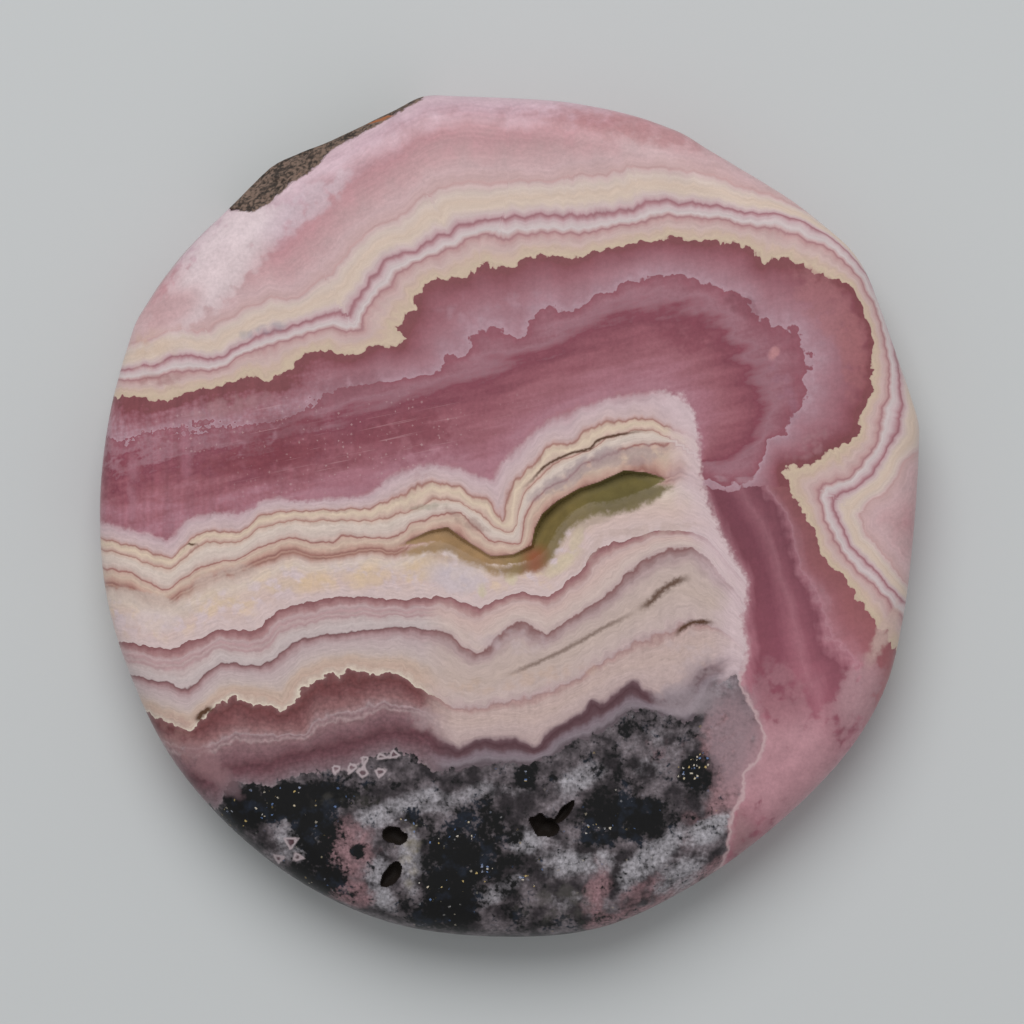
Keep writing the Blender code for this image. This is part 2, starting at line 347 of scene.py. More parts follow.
bpy.context.scene.collection.objects.link(slab)
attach(slab, "root")
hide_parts("rhodochrosite_slice")


# Growth fronts, read from left to right
RIND_START = (
    (-23.3, 6.7), (-22.1, 6.5), (-20.8, 6.4), (-19.8, 6.0), (-18.8, 6.2), (-17.6, 6.7), (-16.2, 6.9),
    (-14.5, 7.4), (-13.2, 7.3), (-12.5, 7.6), (-11.5, 8.6), (-10.3, 8.9), (-8.8, 8.5), (-7.6, 9.1),
    (-7.1, 9.3), (-5.9, 9.3), (-5.5, 10.4), (-5.0, 11.2), (-4.9, 12.3), (-4.0, 12.8), (-2.4, 12.9),
    (-1.7, 13.6), (-0.2, 13.4), (1.0, 14.0), (2.2, 14.2), (3.1, 13.9), (4.4, 14.2), (4.8, 14.6),
    (6.1, 14.6), (7.2, 15.0), (8.6, 15.1), (9.9, 15.0), (11.9, 14.9), (13.1, 14.6), (13.9, 13.6),
    (14.4, 13.8), (15.8, 13.7), (17.1, 13.1), (18.5, 12.6), (19.2, 12.0), (19.7, 10.7), (20.0, 9.6),
    (19.8, 8.3), (19.7, 6.7), (19.1, 5.6), (19.0, 4.7), (18.3, 4.1), (17.0, 3.4), (16.5, 3.0),
    (14.9, 2.8), (14.9, 1.9), (15.8, 0.4), (16.7, -0.8), (17.1, -2.4), (18.2, -3.3), (18.8, -4.1),
    (19.0, -4.9), (19.9, -5.7), (20.7, -6.7), (21.1, -7.6), (21.4, -8.7), (21.8, -10.1),
)
RIND_INNER_LINE = (
    (-23.3, 7.3), (-21.4, 7.5), (-20.0, 7.4), (-18.7, 7.8), (-16.2, 8.0), (-14.5, 8.9), (-12.1, 9.7),
    (-10.4, 10.2), (-8.5, 10.1), (-7.9, 11.1), (-7.1, 12.2), (-6.0, 13.3), (-4.4, 14.2), (-3.0, 14.7),
    (-1.6, 15.5), (-0.5, 15.1), (1.7, 15.5), (3.4, 15.5), (5.0, 15.7), (7.2, 16.1), (8.6, 16.5),
    (9.9, 16.4), (11.3, 16.3), (13.0, 15.9), (14.6, 15.7), (16.0, 15.3), (17.9, 14.4), (19.4, 12.9),
    (20.3, 11.1), (20.8, 9.1), (20.9, 7.2), (20.5, 5.6), (20.2, 4.2), (19.4, 2.9), (18.5, 2.1),
    (17.0, 1.6), (17.2, 0.3), (17.7, -0.9), (18.5, -2.3), (19.6, -3.5), (20.7, -4.6), (21.6, -5.6),
    (22.9, -6.8),
)
RIND_OUTER_LINE = (
    (-23.3, 7.9), (-21.4, 8.1), (-19.8, 8.2), (-18.1, 8.7), (-15.9, 8.7), (-14.5, 9.5), (-12.1, 10.3),
    (-10.4, 10.8), (-9.0, 10.9), (-8.2, 11.9), (-7.7, 12.7), (-6.6, 14.0), (-4.9, 14.6), (-2.7, 15.8),
    (-0.5, 16.3), (2.2, 16.4), (4.4, 16.4), (6.1, 16.6), (7.7, 17.1), (8.6, 17.3), (9.9, 17.1),
    (11.3, 17.0), (12.4, 16.8), (14.1, 16.6), (15.7, 16.4), (17.6, 15.4), (19.2, 14.0), (20.4, 12.2),
    (21.1, 10.2), (21.5, 8.0), (21.6, 6.1), (21.4, 5.0), (20.8, 4.0), (20.4, 3.1), (19.7, 2.1),
    (18.7, 1.5), (17.7, 1.0), (18.1, -0.2), (18.7, -1.6), (19.6, -2.5), (20.5, -3.5), (21.3, -4.3),
    (23.1, -6.0),
)
RIND_CREAM_EDGE = (
    (-23.3, 9.0), (-21.4, 9.4), (-19.8, 9.8), (-18.4, 10.3), (-16.7, 10.2), (-14.8, 11.2),
    (-13.2, 11.9), (-11.5, 12.1), (-9.9, 13.3), (-8.2, 15.2), (-6.8, 16.0), (-4.9, 17.4), (-2.7, 18.4),
    (-0.5, 18.3), (2.8, 18.5), (5.0, 18.8), (7.2, 19.2), (10.5, 18.9), (12.7, 18.2), (14.9, 17.5),
    (16.8, 16.7), (18.7, 15.2), (20.7, 13.0), (22.1, 10.2), (23.0, 7.5), (22.9, 4.2), (21.8, 3.1),
    (20.8, 1.4), (19.6, 0.6), (19.3, 0.0), (19.6, -0.9), (20.4, -1.9), (21.1, -2.8), (22.0, -3.8),
    (23.4, -5.2),
)
CORE_TEETH = (
    (-23.3, 5.0), (-20.3, 4.8), (-17.0, 5.6), (-15.1, 5.2), (-12.1, 5.8), (-11.0, 6.4), (-9.0, 7.2),
    (-6.0, 7.6), (-3.8, 8.0), (-3.4, 9.0), (-2.6, 8.9), (-2.2, 9.7), (-1.5, 10.7), (-0.4, 10.3),
    (0.7, 9.8), (1.0, 10.9), (2.1, 11.7), (3.3, 11.2), (3.8, 11.6), (5.0, 12.4), (5.8, 12.4),
    (6.1, 12.9), (7.5, 13.3), (9.7, 13.3), (12.1, 12.5), (13.1, 12.3), (13.5, 11.2), (15.2, 10.6),
    (16.0, 10.4), (16.1, 9.7), (16.8, 9.1), (17.0, 8.7), (16.4, 7.5), (16.6, 6.7), (16.3, 5.9),
    (15.4, 5.4), (15.2, 4.4), (14.2, 4.2), (14.1, 3.4), (13.6, 2.1), (12.7, 1.6), (11.6, 1.7),
    (10.5, 2.1),
)
CORE_VEIL = (
    (-23.3, 3.6), (-20.3, 3.9), (-17.0, 4.2), (-13.1, 4.8), (-11.5, 5.4), (-6.0, 6.8), (-1.6, 7.9),
    (1.4, 9.2), (3.4, 10.3), (5.7, 11.5), (7.2, 11.7), (9.1, 11.8), (11.0, 11.2), (12.4, 10.0),
    (13.3, 8.6), (14.1, 7.2), (14.3, 5.8), (13.9, 4.5), (13.1, 3.5), (12.0, 3.0), (10.5, 3.0),
)
LEG_START = (
    (9.7, 2.2), (10.5, 1.8), (11.3, 1.6), (12.7, 1.5), (13.6, 1.9), (14.6, 1.8), (15.4, 1.8),
    (17.6, 1.8),
)
LEG_TEETH = (
    (13.5, 2.5), (14.3, 1.3), (15.2, 0.1), (15.7, -1.6), (16.0, -3.0), (16.6, -3.8), (17.1, -4.7),
    (17.4, -6.0), (17.6, -6.9), (18.5, -7.6), (19.0, -8.4), (19.1, -9.6), (19.1, -11.2), (18.8, -12.3),
    (18.2, -13.3), (17.1, -14.2), (15.7, -15.5), (14.9, -17.0),
)
TONGUE_START = (
    (-23.3, -0.2), (-21.7, -0.4), (-19.5, -1.0), (-18.9, -1.2), (-18.0, -0.2), (-17.2, 0.1),
    (-16.2, 0.3), (-14.5, 0.4), (-13.3, 1.1), (-11.5, 1.0), (-8.2, 1.2), (-7.6, 1.4), (-6.5, 2.4),
    (-4.9, 2.9), (-3.5, 2.9), (-1.9, 2.4), (-1.0, 2.0), (-0.6, 3.0), (0.4, 3.9), (2.0, 5.3), (3.3, 5.9),
    (4.8, 6.4), (6.4, 6.8), (7.8, 7.0), (9.5, 6.7),
)
TONGUE_SIDE = (
    (9.5, 6.7), (10.2, 5.7), (10.5, 4.2), (10.6, 2.0), (11.2, 0.3), (11.7, -0.9), (12.4, -2.3),
    (13.1, -3.4), (13.1, -4.6), (12.9, -5.8), (13.2, -7.3), (12.8, -9.0), (13.3, -10.3), (14.0, -11.8),
    (14.1, -12.6), (13.6, -13.6), (13.0, -14.2), (13.0, -15.3), (12.3, -16.4), (12.2, -17.8),
    (11.7, -19.5), (10.5, -22.2),
)
LINE_1 = (
    (-23.3, -1.1), (-22.0, -1.3), (-20.6, -1.6), (-19.2, -2.2), (-18.6, -2.2), (-18.0, -1.6),
    (-16.9, -0.8), (-14.9, -0.8), (-13.6, 0.1), (-12.5, 0.3), (-9.3, 0.4), (-7.7, 0.6), (-5.9, 1.2),
    (-5.1, 1.8), (-3.5, 1.8), (-1.7, 1.2), (-0.9, 0.6), (-0.4, -0.3), (-0.2, 0.9), (0.1, 1.8),
    (1.2, 2.9), (2.1, 3.9), (3.6, 4.4), (4.4, 5.0), (5.8, 5.4), (7.7, 5.4), (9.4, 4.7), (11.6, 3.1),
    (14.9, -0.2),
)
LINE_2 = (
    (-23.3, -1.7), (-21.4, -2.0), (-18.9, -2.8), (-17.6, -1.9), (-16.7, -1.3), (-14.9, -1.3),
    (-13.6, -0.6), (-12.1, -0.2), (-9.0, -0.2), (-6.0, 0.1), (-4.6, 0.7), (-3.3, 0.9), (-1.9, 0.3),
    (-1.0, -0.4), (-0.2, -0.9), (0.4, -0.5), (0.6, 1.0), (1.5, 2.0), (2.9, 3.2), (4.3, 3.6), (5.3, 4.3),
    (7.2, 4.8), (8.7, 4.3), (11.3, 2.5), (14.6, -0.8),
)
LINE_3 = (
    (-23.3, -2.8), (-22.5, -2.8), (-20.8, -3.1), (-19.1, -4.0), (-17.8, -3.3), (-16.7, -2.6),
    (-14.8, -2.2), (-13.4, -1.6), (-12.1, -1.2), (-9.8, -1.4), (-9.2, -1.0), (-6.2, -1.1), (-5.4, -0.4),
    (-3.9, 0.1), (-2.7, 0.2), (-1.7, -0.7), (-1.0, -1.3), (-0.1, -1.4), (0.5, -1.4), (0.7, 0.1),
    (1.7, 1.2), (2.8, 2.0), (4.0, 2.9), (5.8, 3.7), (8.0, 4.0), (9.9, 4.0), (11.9, 1.7), (14.6, -1.6),
)
LINE_4 = (
    (-23.3, -3.5), (-20.9, -3.9), (-19.1, -4.7), (-16.7, -3.4), (-13.4, -2.3), (-12.1, -1.8),
    (-9.9, -2.1), (-7.7, -1.6), (-6.3, -1.9), (-5.2, -1.2), (-3.4, -0.7), (-2.1, -1.5), (-1.0, -2.2),
    (-0.1, -2.1), (0.6, -2.0), (1.3, -1.3), (1.5, -0.5), (2.1, 0.3), (3.3, 1.3), (5.0, 1.9), (7.2, 2.5),
    (8.4, 2.1), (9.4, 2.4), (10.5, 2.0), (12.1, 0.1), (14.6, -3.0),
)
MAUVE_START = (
    (-23.3, -6.7), (-21.5, -6.8), (-19.8, -7.0), (-18.6, -7.3), (-17.6, -6.8), (-16.2, -6.2),
    (-14.3, -6.3), (-13.2, -5.4), (-11.5, -4.7), (-8.5, -4.3), (-6.0, -4.5), (-3.7, -4.4), (-2.4, -4.7),
    (-1.7, -5.0), (-1.1, -4.7), (0.6, -4.1), (2.0, -4.3), (3.4, -3.4), (4.2, -2.4), (5.0, -1.6),
    (6.6, -1.2), (8.0, -0.8), (10.5, -1.0), (12.4, -3.0), (14.9, -5.7),
)
MAUVE_LINE = (
    (-23.3, -8.2), (-20.6, -8.8), (-18.7, -9.2), (-17.7, -9.6), (-17.0, -8.9), (-15.9, -8.1),
    (-13.6, -8.2), (-12.3, -7.3), (-11.5, -6.7), (-9.0, -6.4), (-6.3, -6.1), (-3.7, -6.3), (-2.4, -7.2),
    (-1.7, -7.4), (-0.4, -6.2), (0.9, -5.8), (2.0, -6.5), (2.8, -5.9), (5.0, -4.5), (6.2, -3.4),
    (7.2, -2.4), (8.8, -1.7), (10.5, -1.9), (12.4, -4.1), (14.9, -7.1),
)
RED_START = (
    (-22.8, -9.8), (-20.2, -10.8), (-18.9, -11.2), (-17.6, -11.7), (-16.7, -10.8), (-15.4, -9.9),
    (-13.8, -10.1), (-12.2, -10.5), (-11.4, -9.2), (-10.3, -8.7), (-8.8, -8.3), (-6.8, -8.6),
    (-6.0, -8.6), (-5.2, -9.2), (-3.8, -10.0), (-2.4, -10.5), (-0.5, -10.2), (1.4, -9.8), (2.9, -9.3),
    (5.0, -8.0), (6.6, -7.1), (8.3, -6.3), (9.9, -5.7), (11.9, -6.4), (14.9, -9.6),
)
RED_WAVES = (
    (-21.4, -11.9), (-18.9, -12.4), (-17.0, -12.6), (-15.4, -12.0), (-14.3, -11.8), (-11.4, -11.9),
    (-10.7, -11.0), (-9.2, -10.6), (-7.9, -10.2), (-6.0, -10.2), (-4.4, -10.8), (-2.7, -11.6),
    (-0.5, -11.3), (1.4, -11.3), (2.8, -10.6), (4.4, -9.6), (6.1, -8.7), (7.7, -8.4), (9.4, -8.0),
    (10.5, -7.2), (12.4, -7.2), (14.9, -10.1),
)
SMOKY_LINE = (
    (-21.4, -13.7), (-18.9, -14.4), (-15.4, -13.9), (-11.5, -13.0), (-8.8, -12.3), (-6.3, -11.8),
    (-4.9, -11.9), (-3.8, -12.5), (-2.7, -12.9), (-1.9, -12.4), (0.3, -12.4), (1.4, -12.8),
    (2.2, -11.9), (3.9, -11.0), (4.5, -10.2), (5.3, -10.4), (6.1, -9.7), (6.9, -9.1), (7.7, -10.0),
    (9.5, -10.1), (10.5, -8.5), (11.6, -8.3), (12.6, -7.9), (15.2, -10.9),
)
MARGIN_START = (
    (-19.8, -18.9), (-17.0, -16.8), (-15.8, -15.6), (-15.3, -14.7), (-13.6, -14.9), (-11.5, -14.3),
    (-9.9, -14.1), (-8.8, -14.0), (-7.6, -13.3), (-6.3, -12.9), (-5.5, -13.3), (-3.8, -14.1),
    (-1.6, -13.7), (0.6, -13.7), (2.2, -13.3), (3.6, -12.5), (5.0, -12.0), (6.7, -10.8), (8.3, -10.9),
    (9.7, -11.4), (10.5, -10.6), (11.0, -9.6), (11.7, -9.2), (12.6, -8.9), (13.8, -10.1), (15.4, -12.3),
)

# Patches in the stone: middle, length, width, turn in degrees, strength
ORE = (
    ((-12.9, -15.8), 4.7, 2.1, -3, 1.0),
    ((-14.8, -16.4), 2.2, 2.2, 0, 0.8),
    ((-10.6, -17.3), 2.6, 2.2, 0, 1.0),
    ((-10.5, -15.5), 3.3, 1.6, 0, 0.9),
    ((-8.8, -15.5), 3.3, 1.1, 0, 0.4),
    ((-10.5, -19.7), 3.3, 2.4, -35, 1.0),
    ((-3.0, -19.4), 3.3, 5.0, 0, 1.0),
    ((-0.5, -18.4), 2.2, 3.9, 0, 0.6),
    ((-3.8, -21.9), 4.4, 1.9, 0, 0.8),
    ((-5.2, -16.6), 1.6, 0.8, -45, 0.8),
    ((-1.7, -16.4), 2.2, 2.2, 0, 0.5),
    ((6.4, -16.6), 5.1, 2.4, 0, 1.0),
    ((10.5, -14.2), 2.3, 1.9, 30, 0.9),
    ((0.9, -14.4), 1.2, 1.4, 0, 0.9),
    ((2.3, -14.4), 0.7, 0.5, 0, 0.9),
    ((0.9, -19.2), 2.0, 1.0, 0, 0.3),
    ((0.3, -21.4), 2.2, 2.2, 0, 0.4),
    ((6.9, -11.5), 2.4, 1.2, 0, 0.45),
    ((5.5, -13.9), 3.3, 3.3, 0, 0.3),
    ((-8.4, -18.5), 0.7, 0.8, 30, 1.1),
    ((-6.2, -14.8), 0.7, 0.4, 0, 0.8),
    ((-9.0, -14.6), 3.3, 1.0, 0, 0.4),
    ((9.4, -11.8), 1.4, 1.1, 0, 0.35),
    ((4.8, -17.9), 1.8, 1.0, 0, 0.7),
    ((2.8, -22.5), 5.0, 0.9, 5, 0.4),
)
QUARTZ = (
    ((-4.4, -15.7), 3.9, 1.4, 0, 0.8),
    ((-7.2, -19.9), 1.4, 3.0, 0, 1.0),
    ((0.8, -17.9), 1.6, 1.6, 0, 1.0),
    ((9.4, -19.9), 3.2, 1.6, 35, 1.0),
    ((2.6, -19.3), 2.6, 1.5, 0, 0.7),
    ((0.6, -15.2), 1.9, 1.0, 0, 0.5),
    ((10.2, -13.9), 1.5, 1.0, 0, 0.5),
    ((3.2, -21.1), 2.2, 1.4, 0, 0.6),
    ((7.5, -13.9), 1.6, 1.2, 0, 0.6),
    ((-1.5, -15.1), 2.2, 1.1, 0, 0.7),
    ((4.0, -14.4), 3.3, 1.4, 25, 0.8),
    ((-11.6, -18.1), 2.8, 2.2, -20, 0.8),
    ((-12.4, -16.4), 0.6, 0.9, 0, 0.8),
    ((4.4, -19.0), 3.3, 1.3, 0, 0.9),
    ((-0.5, -20.6), 3.1, 1.1, 35, 0.9),
    ((7.7, -18.9), 5.1, 1.5, 40, 1.2),
    ((11.1, -17.2), 2.6, 1.3, 25, 1.4),
    ((2.0, -18.1), 3.3, 1.2, 0, 0.4),
    ((-7.1, -16.4), 3.1, 1.4, 10, 0.8),
    ((-5.4, -19.0), 1.4, 3.6, 0, 0.9),
    ((-6.8, -21.4), 1.4, 1.4, 0, 0.6),
    ((8.3, -12.2), 2.8, 1.0, 0, 0.35),
    ((12.1, -9.6), 1.6, 1.4, 0, 0.7),
    ((-3.8, -18.9), 1.0, 0.9, 0, 0.5),
)
BLUSH = (
    ((-9.0, -18.4), 3.3, 3.6, 0, 0.9),
    ((-8.7, -20.9), 3.3, 1.4, -10, 0.9),
    ((5.0, -20.3), 1.2, 3.9, 0, 0.7),
    ((7.2, -20.7), 3.3, 1.2, 30, 0.7),
    ((12.0, -12.6), 2.9, 5.0, 0, 1.1),
    ((11.7, -15.9), 1.9, 2.2, 0, 0.8),
    ((9.9, -17.3), 1.6, 3.3, 0, 0.4),
    ((6.2, -22.3), 3.9, 0.9, 14, 1.1),
    ((9.9, -20.4), 6.0, 1.1, 33, 1.1),
    ((8.0, -12.9), 3.3, 1.6, 0, 0.3),
    ((4.4, -21.4), 1.1, 2.8, 0, 0.5),
)
GLITTER = (
    ((-2.3, -17.4), 1.4, 1.1, 0, 1.2),
    ((-3.8, -17.8), 1.6, 0.8, 0, 0.8),
    ((-5.4, -16.7), 1.5, 1.1, -45, 0.9),
    ((-1.3, -19.4), 0.8, 1.1, 0, 1.0),
    ((1.1, -19.6), 1.1, 1.9, 0, 0.9),
    ((5.0, -17.1), 3.3, 0.8, 0, 0.7),
    ((10.2, -13.8), 2.0, 1.1, 40, 1.8),
    ((-14.3, -15.9), 2.8, 2.2, 0, 0.4),
    ((-11.5, -15.6), 3.3, 1.6, 0, 0.3),
    ((-9.0, -15.6), 1.6, 0.9, 0, 0.4),
    ((-3.5, -20.6), 3.3, 2.2, 0, 0.35),
    ((0.9, -14.4), 0.6, 0.6, 0, 0.9),
)

# Tints over the bands, each with its colour; the two whitish ones at the top left are painted sheen
TINTS_AND_SHEEN = (
    ((-13.6, 10.2), 3.3, 0.7, 12, 0.5, (140, 142, 155)),
    # Painted sheen where the rounded edge at the top left reflects the light
    ((-15.8, 14.2), 9.0, 3.6, 50, 1.0, (224, 207, 210)),
    ((-18.6, 11.4), 3.6, 1.6, 30, 0.6, (186, 140, 142)),
    # More painted sheen on the rounded edge at the top left
    ((-11.0, 17.2), 6.0, 1.8, 38, 0.7, (212, 194, 202)),
    ((-19.2, 8.8), 3.6, 1.6, 20, 0.5, (214, 194, 186)),
    ((7.2, 21.3), 13.0, 1.8, -8, 0.6, (176, 126, 128)),
    ((-19.8, 9.4), 2.8, 1.6, 0, 0.4, (206, 178, 150)),
    ((-18.7, 2.5), 8.2, 5.5, 5, 0.35, (140, 78, 84)),
    ((-20.8, 1.4), 5.0, 0.7, 88, 0.5, (182, 130, 144)),
    ((-17.8, 3.6), 4.4, 0.7, 92, 0.5, (184, 126, 142)),
    ((-18.7, 5.1), 4.4, 0.4, 18, 0.5, (172, 128, 140)),
    ((-11.5, 6.5), 9.9, 1.9, 13, 0.5, (150, 102, 112)),
    ((-1.1, 11.6), 7.2, 1.6, 12, 0.35, (178, 144, 156)),
    ((-11.5, 3.0), 6.6, 2.8, 5, 0.5, (122, 58, 68)),
    ((-4.4, 3.6), 6.0, 2.8, 12, 0.4, (130, 64, 76)),
    ((9.9, 10.2), 5.0, 2.8, -30, 0.45, (132, 66, 80)),
    ((15.2, 7.2), 5.5, 1.4, -72, 0.4, (156, 110, 128)),
    ((17.6, 11.4), 6.0, 2.6, -50, 0.7, (170, 114, 118)),
    ((18.9, 8.6), 5.0, 1.6, -85, 0.6, (168, 108, 110)),
    ((14.6, 9.0), 0.9, 0.6, 60, 0.7, (210, 150, 150)),
    ((15.4, -14.0), 7.2, 6.6, 45, 1.0, (194, 148, 156)),
    ((19.3, -9.8), 4.2, 2.6, 65, 0.95, (182, 144, 150)),
    ((15.0, -9.8), 3.4, 3.2, 60, 0.6, (170, 122, 130)),
    ((17.2, -4.6), 4.4, 1.1, -62, 0.4, (174, 132, 142)),
    ((12.4, 2.0), 3.1, 0.5, -4, 0.7, (180, 142, 152)),
    ((-19.6, -5.8), 3.6, 1.5, 0, 0.8, (216, 198, 198)),
    ((0.0, -6.9), 4.6, 1.6, 0, 0.5, (198, 178, 182)),
    ((-16.7, -4.6), 4.4, 2.0, 8, 0.4, (208, 188, 172)),
    ((-12.4, -3.9), 2.0, 1.0, 5, 0.6, (214, 190, 164)),
    ((-10.7, -3.6), 2.0, 1.2, 5, 0.7, (220, 190, 158)),
    ((-7.8, -3.4), 2.6, 1.3, 5, 0.7, (220, 192, 160)),
    ((-4.7, -2.9), 2.2, 1.3, 22, 0.8, (220, 192, 156)),
    ((-2.9, -3.4), 3.4, 1.8, -12, 0.9, (208, 194, 200)),
    ((5.2, 0.2), 6.0, 1.0, 26, 0.6, (160, 142, 122)),
    ((0.8, -2.9), 3.0, 0.8, 0, 0.7, (168, 134, 122)),
    ((-3.6, -2.1), 4.4, 0.7, -14, 0.5, (166, 136, 118)),
    ((0.1, -3.4), 0.7, 0.8, 0, 0.9, (216, 202, 172)),
    ((-1.5, -4.2), 0.5, 0.8, 0, 0.9, (212, 198, 170)),
    ((2.9, -2.6), 2.5, 0.8, 38, 0.85, (214, 198, 168)),
    ((3.7, -1.3), 1.4, 0.7, 62, 0.8, (208, 192, 165)),
    ((3.6, 2.4), 6.0, 1.2, 32, 0.7, (160, 142, 148)),
    ((6.8, 3.3), 4.4, 1.2, 8, 0.7, (166, 146, 148)),
    ((4.3, -2.1), 3.0, 0.8, 50, 0.55, (196, 172, 164)),
    ((7.6, -0.8), 6.0, 0.8, 6, 0.6, (194, 170, 162)),
    ((-4.6, 0.5), 3.0, 0.4, 10, 0.6, (166, 160, 142)),
    ((9.9, -7.4), 3.3, 2.5, 0, 0.5, (198, 178, 180)),
    ((0.6, -9.0), 9.9, 1.2, 8, 0.4, (200, 168, 146)),
    ((-9.0, -9.6), 3.3, 1.4, 0, 0.5, (112, 56, 58)),
    ((-14.8, -11.0), 5.0, 1.4, 5, 0.4, (130, 76, 78)),
    ((-18.1, -12.4), 3.3, 2.0, -50, 0.5, (164, 124, 120)),
    ((1.7, -2.2), 1.4, 1.0, 55, 0.8, (142, 88, 62)),
    ((-5.5, -18.8), 1.3, 3.9, 0, 0.5, (168, 158, 142)),
    ((-8.8, -15.6), 5.0, 1.2, 0, 0.4, (78, 74, 68)),
    ((2.8, -21.4), 5.0, 2.5, 0, 0.5, (90, 86, 82)),
    ((12.1, -11.6), 3.0, 6.4, 0, 0.8, (152, 130, 137)),
    ((9.6, -10.1), 3.4, 1.9, 0, 0.9, (162, 148, 154)),
    ((-4.5, -11.2), 2.2, 1.4, -20, 0.7, (174, 150, 152)),
    ((-15.5, -14.8), 2.2, 1.2, -40, 0.8, (118, 94, 100)),
    ((-16.8, -13.6), 3.2, 1.6, -40, 0.8, (150, 114, 118)),
    ((12.9, -17.9), 1.6, 3.4, 15, 0.8, (170, 134, 138)),
    ((-15.6, -3.3), 4.4, 1.2, 12, 0.7, (208, 188, 178)),
    ((-12.6, 4.7), 5.0, 1.6, 10, 0.7, (130, 68, 78)),
    ((-20.2, -4.6), 5.5, 1.0, -12, 0.9, (208, 190, 180)),
    ((-15.6, 6.1), 5.0, 1.2, 12, 0.6, (172, 130, 134)),
    ((-8.6, 7.3), 4.0, 1.4, 12, 0.5, (134, 78, 88)),
    ((-6.2, 4.9), 5.0, 1.6, 12, 0.6, (126, 62, 74)),
    ((12.9, 11.6), 3.0, 1.4, -30, 0.6, (128, 70, 82)),
    ((10.4, -8.6), 2.4, 1.1, 30, 0.6, (168, 150, 154)),
    ((-2.4, -0.3), 3.4, 0.8, -25, 0.6, (158, 128, 120)),
    ((14.3, -8.8), 2.4, 2.0, 60, 0.5, (162, 114, 124)),
    ((16.6, 3.9), 3.0, 1.4, 30, 0.5, (172, 130, 136)),
    ((20.7, -6.4), 3.6, 1.0, 62, 0.9, (206, 178, 170)),
    ((-19.3, 7.5), 3.0, 0.8, 8, 0.6, (160, 112, 112)),
    ((0.9, -0.5), 2.2, 0.8, 30, 0.4, (190, 168, 154)),
    ((-13.6, 3.2), 6.5, 1.5, 10, 0.55, (126, 56, 66)),
    ((-6.0, 4.4), 8.0, 2.2, 14, 0.4, (130, 62, 74)),
    ((9.8, 10.0), 3.4, 2.2, -20, 0.4, (132, 66, 80)),
)
DUSTY = (
    ((-6.9, 4.0), 9.0, 4.6, 15, 1.0),
    ((1.0, 5.6), 5.0, 3.0, 20, 0.5),
    ((-14.0, 5.2), 9.0, 2.4, 10, 0.9),
    ((-18.0, 4.6), 5.0, 2.2, 8, 1.0),
    ((-12.5, 2.4), 7.0, 3.6, 6, 0.55),
)

# Cracks with half width and darkness, and the outlines of small pale crystals
CRACKS = (
    (((0.58, 1.43), (1.24, 1.98), (1.95, 2.75), (2.78, 3.19), (3.6, 3.52), (4.43, 3.69), (4.87, 4.18),
      (5.64, 4.4), (6.9, 4.62), (7.73, 4.73)), 0.06, 1.0),
    (((-0.52, -8.91), (0.3, -8.58), (2.78, -7.48), (5.25, -6.11), (7.18, -5.17)), 0.09, 0.6),
    (((6.96, -5.22), (7.73, -4.79), (8.17, -4.29), (8.72, -3.85), (9.38, -3.52), (10.04, -3.35)), 0.15, 0.9),
    (((9.1, -6.71), (9.38, -6.27), (9.93, -5.88), (10.75, -5.83), (11.36, -5.88)), 0.11, 1.0),
    (((-17.35, -11.33), (-17.02, -10.95), (-16.69, -10.72), (-16.31, -10.51)), 0.13, 1.2),
    (((-17.8, -1.45), (-17.5, -1.6), (-17.2, -1.5)), 0.045, 1.0),
    (((-7.62, 4.51), (-7.45, 3.85), (-7.18, 3.19), (-7.12, 2.42)), 0.05, -0.8),
)
LACE = (
    ((-6.41, -12.87), (-5.97, -13.26), (-6.63, -13.31)),
    ((-7.07, -13.04), (-6.74, -13.31), (-7.34, -13.37)),
    ((-8.17, -13.26), (-7.78, -13.31), (-8.0, -13.8)),
    ((-8.06, -13.86), (-7.78, -14.13), (-8.06, -14.41), (-8.39, -14.13)),
    ((-9.76, -13.75), (-9.27, -13.8), (-9.6, -14.24)),
    ((-8.83, -13.64), (-8.28, -13.75), (-8.88, -14.19)),
    ((-7.4, -13.92), (-6.74, -13.97), (-7.18, -14.41)),
    ((-12.4, -17.77), (-11.63, -17.77), (-12.07, -18.37)),
    ((-13.01, -18.75), (-12.4, -18.81), (-12.79, -19.2)),
    ((-11.8, -18.59), (-11.3, -18.86), (-11.91, -19.03)),
)

# Colours in the order that the stone grew: depth, then red, green and blue in 255 steps
RIND_BANDS = (
    (0.00, 190, 165, 148), (0.10, 203, 182, 160), (0.45, 200, 174, 160), (0.70, 201, 175, 170),
    (0.95, 196, 165, 163), (1.12, 188, 150, 149), (1.25, 166, 120, 124), (1.34, 190, 156, 156),
    (1.55, 206, 192, 192), (1.75, 203, 184, 185), (1.95, 196, 168, 172), (2.12, 174, 130, 136),
    (2.22, 156, 106, 114), (2.34, 190, 158, 162), (2.55, 203, 182, 180), (2.85, 210, 190, 176),
    (3.20, 209, 187, 172), (3.60, 208, 189, 180), (3.90, 203, 177, 175), (4.05, 192, 156, 155),
    (4.15, 197, 165, 164), (4.70, 200, 169, 171), (5.60, 192, 154, 157), (6.80, 186, 138, 144),
    (7.40, 190, 150, 158), (8.30, 197, 167, 177), (9.50, 199, 173, 181),
)
CORE_BANDS = (
    (0.00, 128, 73, 78), (0.15, 134, 76, 84), (0.70, 147, 92, 102), (1.50, 160, 112, 122),
    (2.20, 168, 128, 139), (2.58, 176, 142, 153), (2.62, 143, 84, 96), (2.80, 146, 88, 100),
    (3.40, 154, 104, 115), (3.80, 156, 110, 121), (4.40, 146, 94, 105), (4.90, 131, 68, 82),
    (5.40, 136, 76, 88), (6.20, 146, 86, 97), (7.20, 155, 98, 108), (8.40, 164, 110, 122),
    (9.00, 168, 118, 130),
)
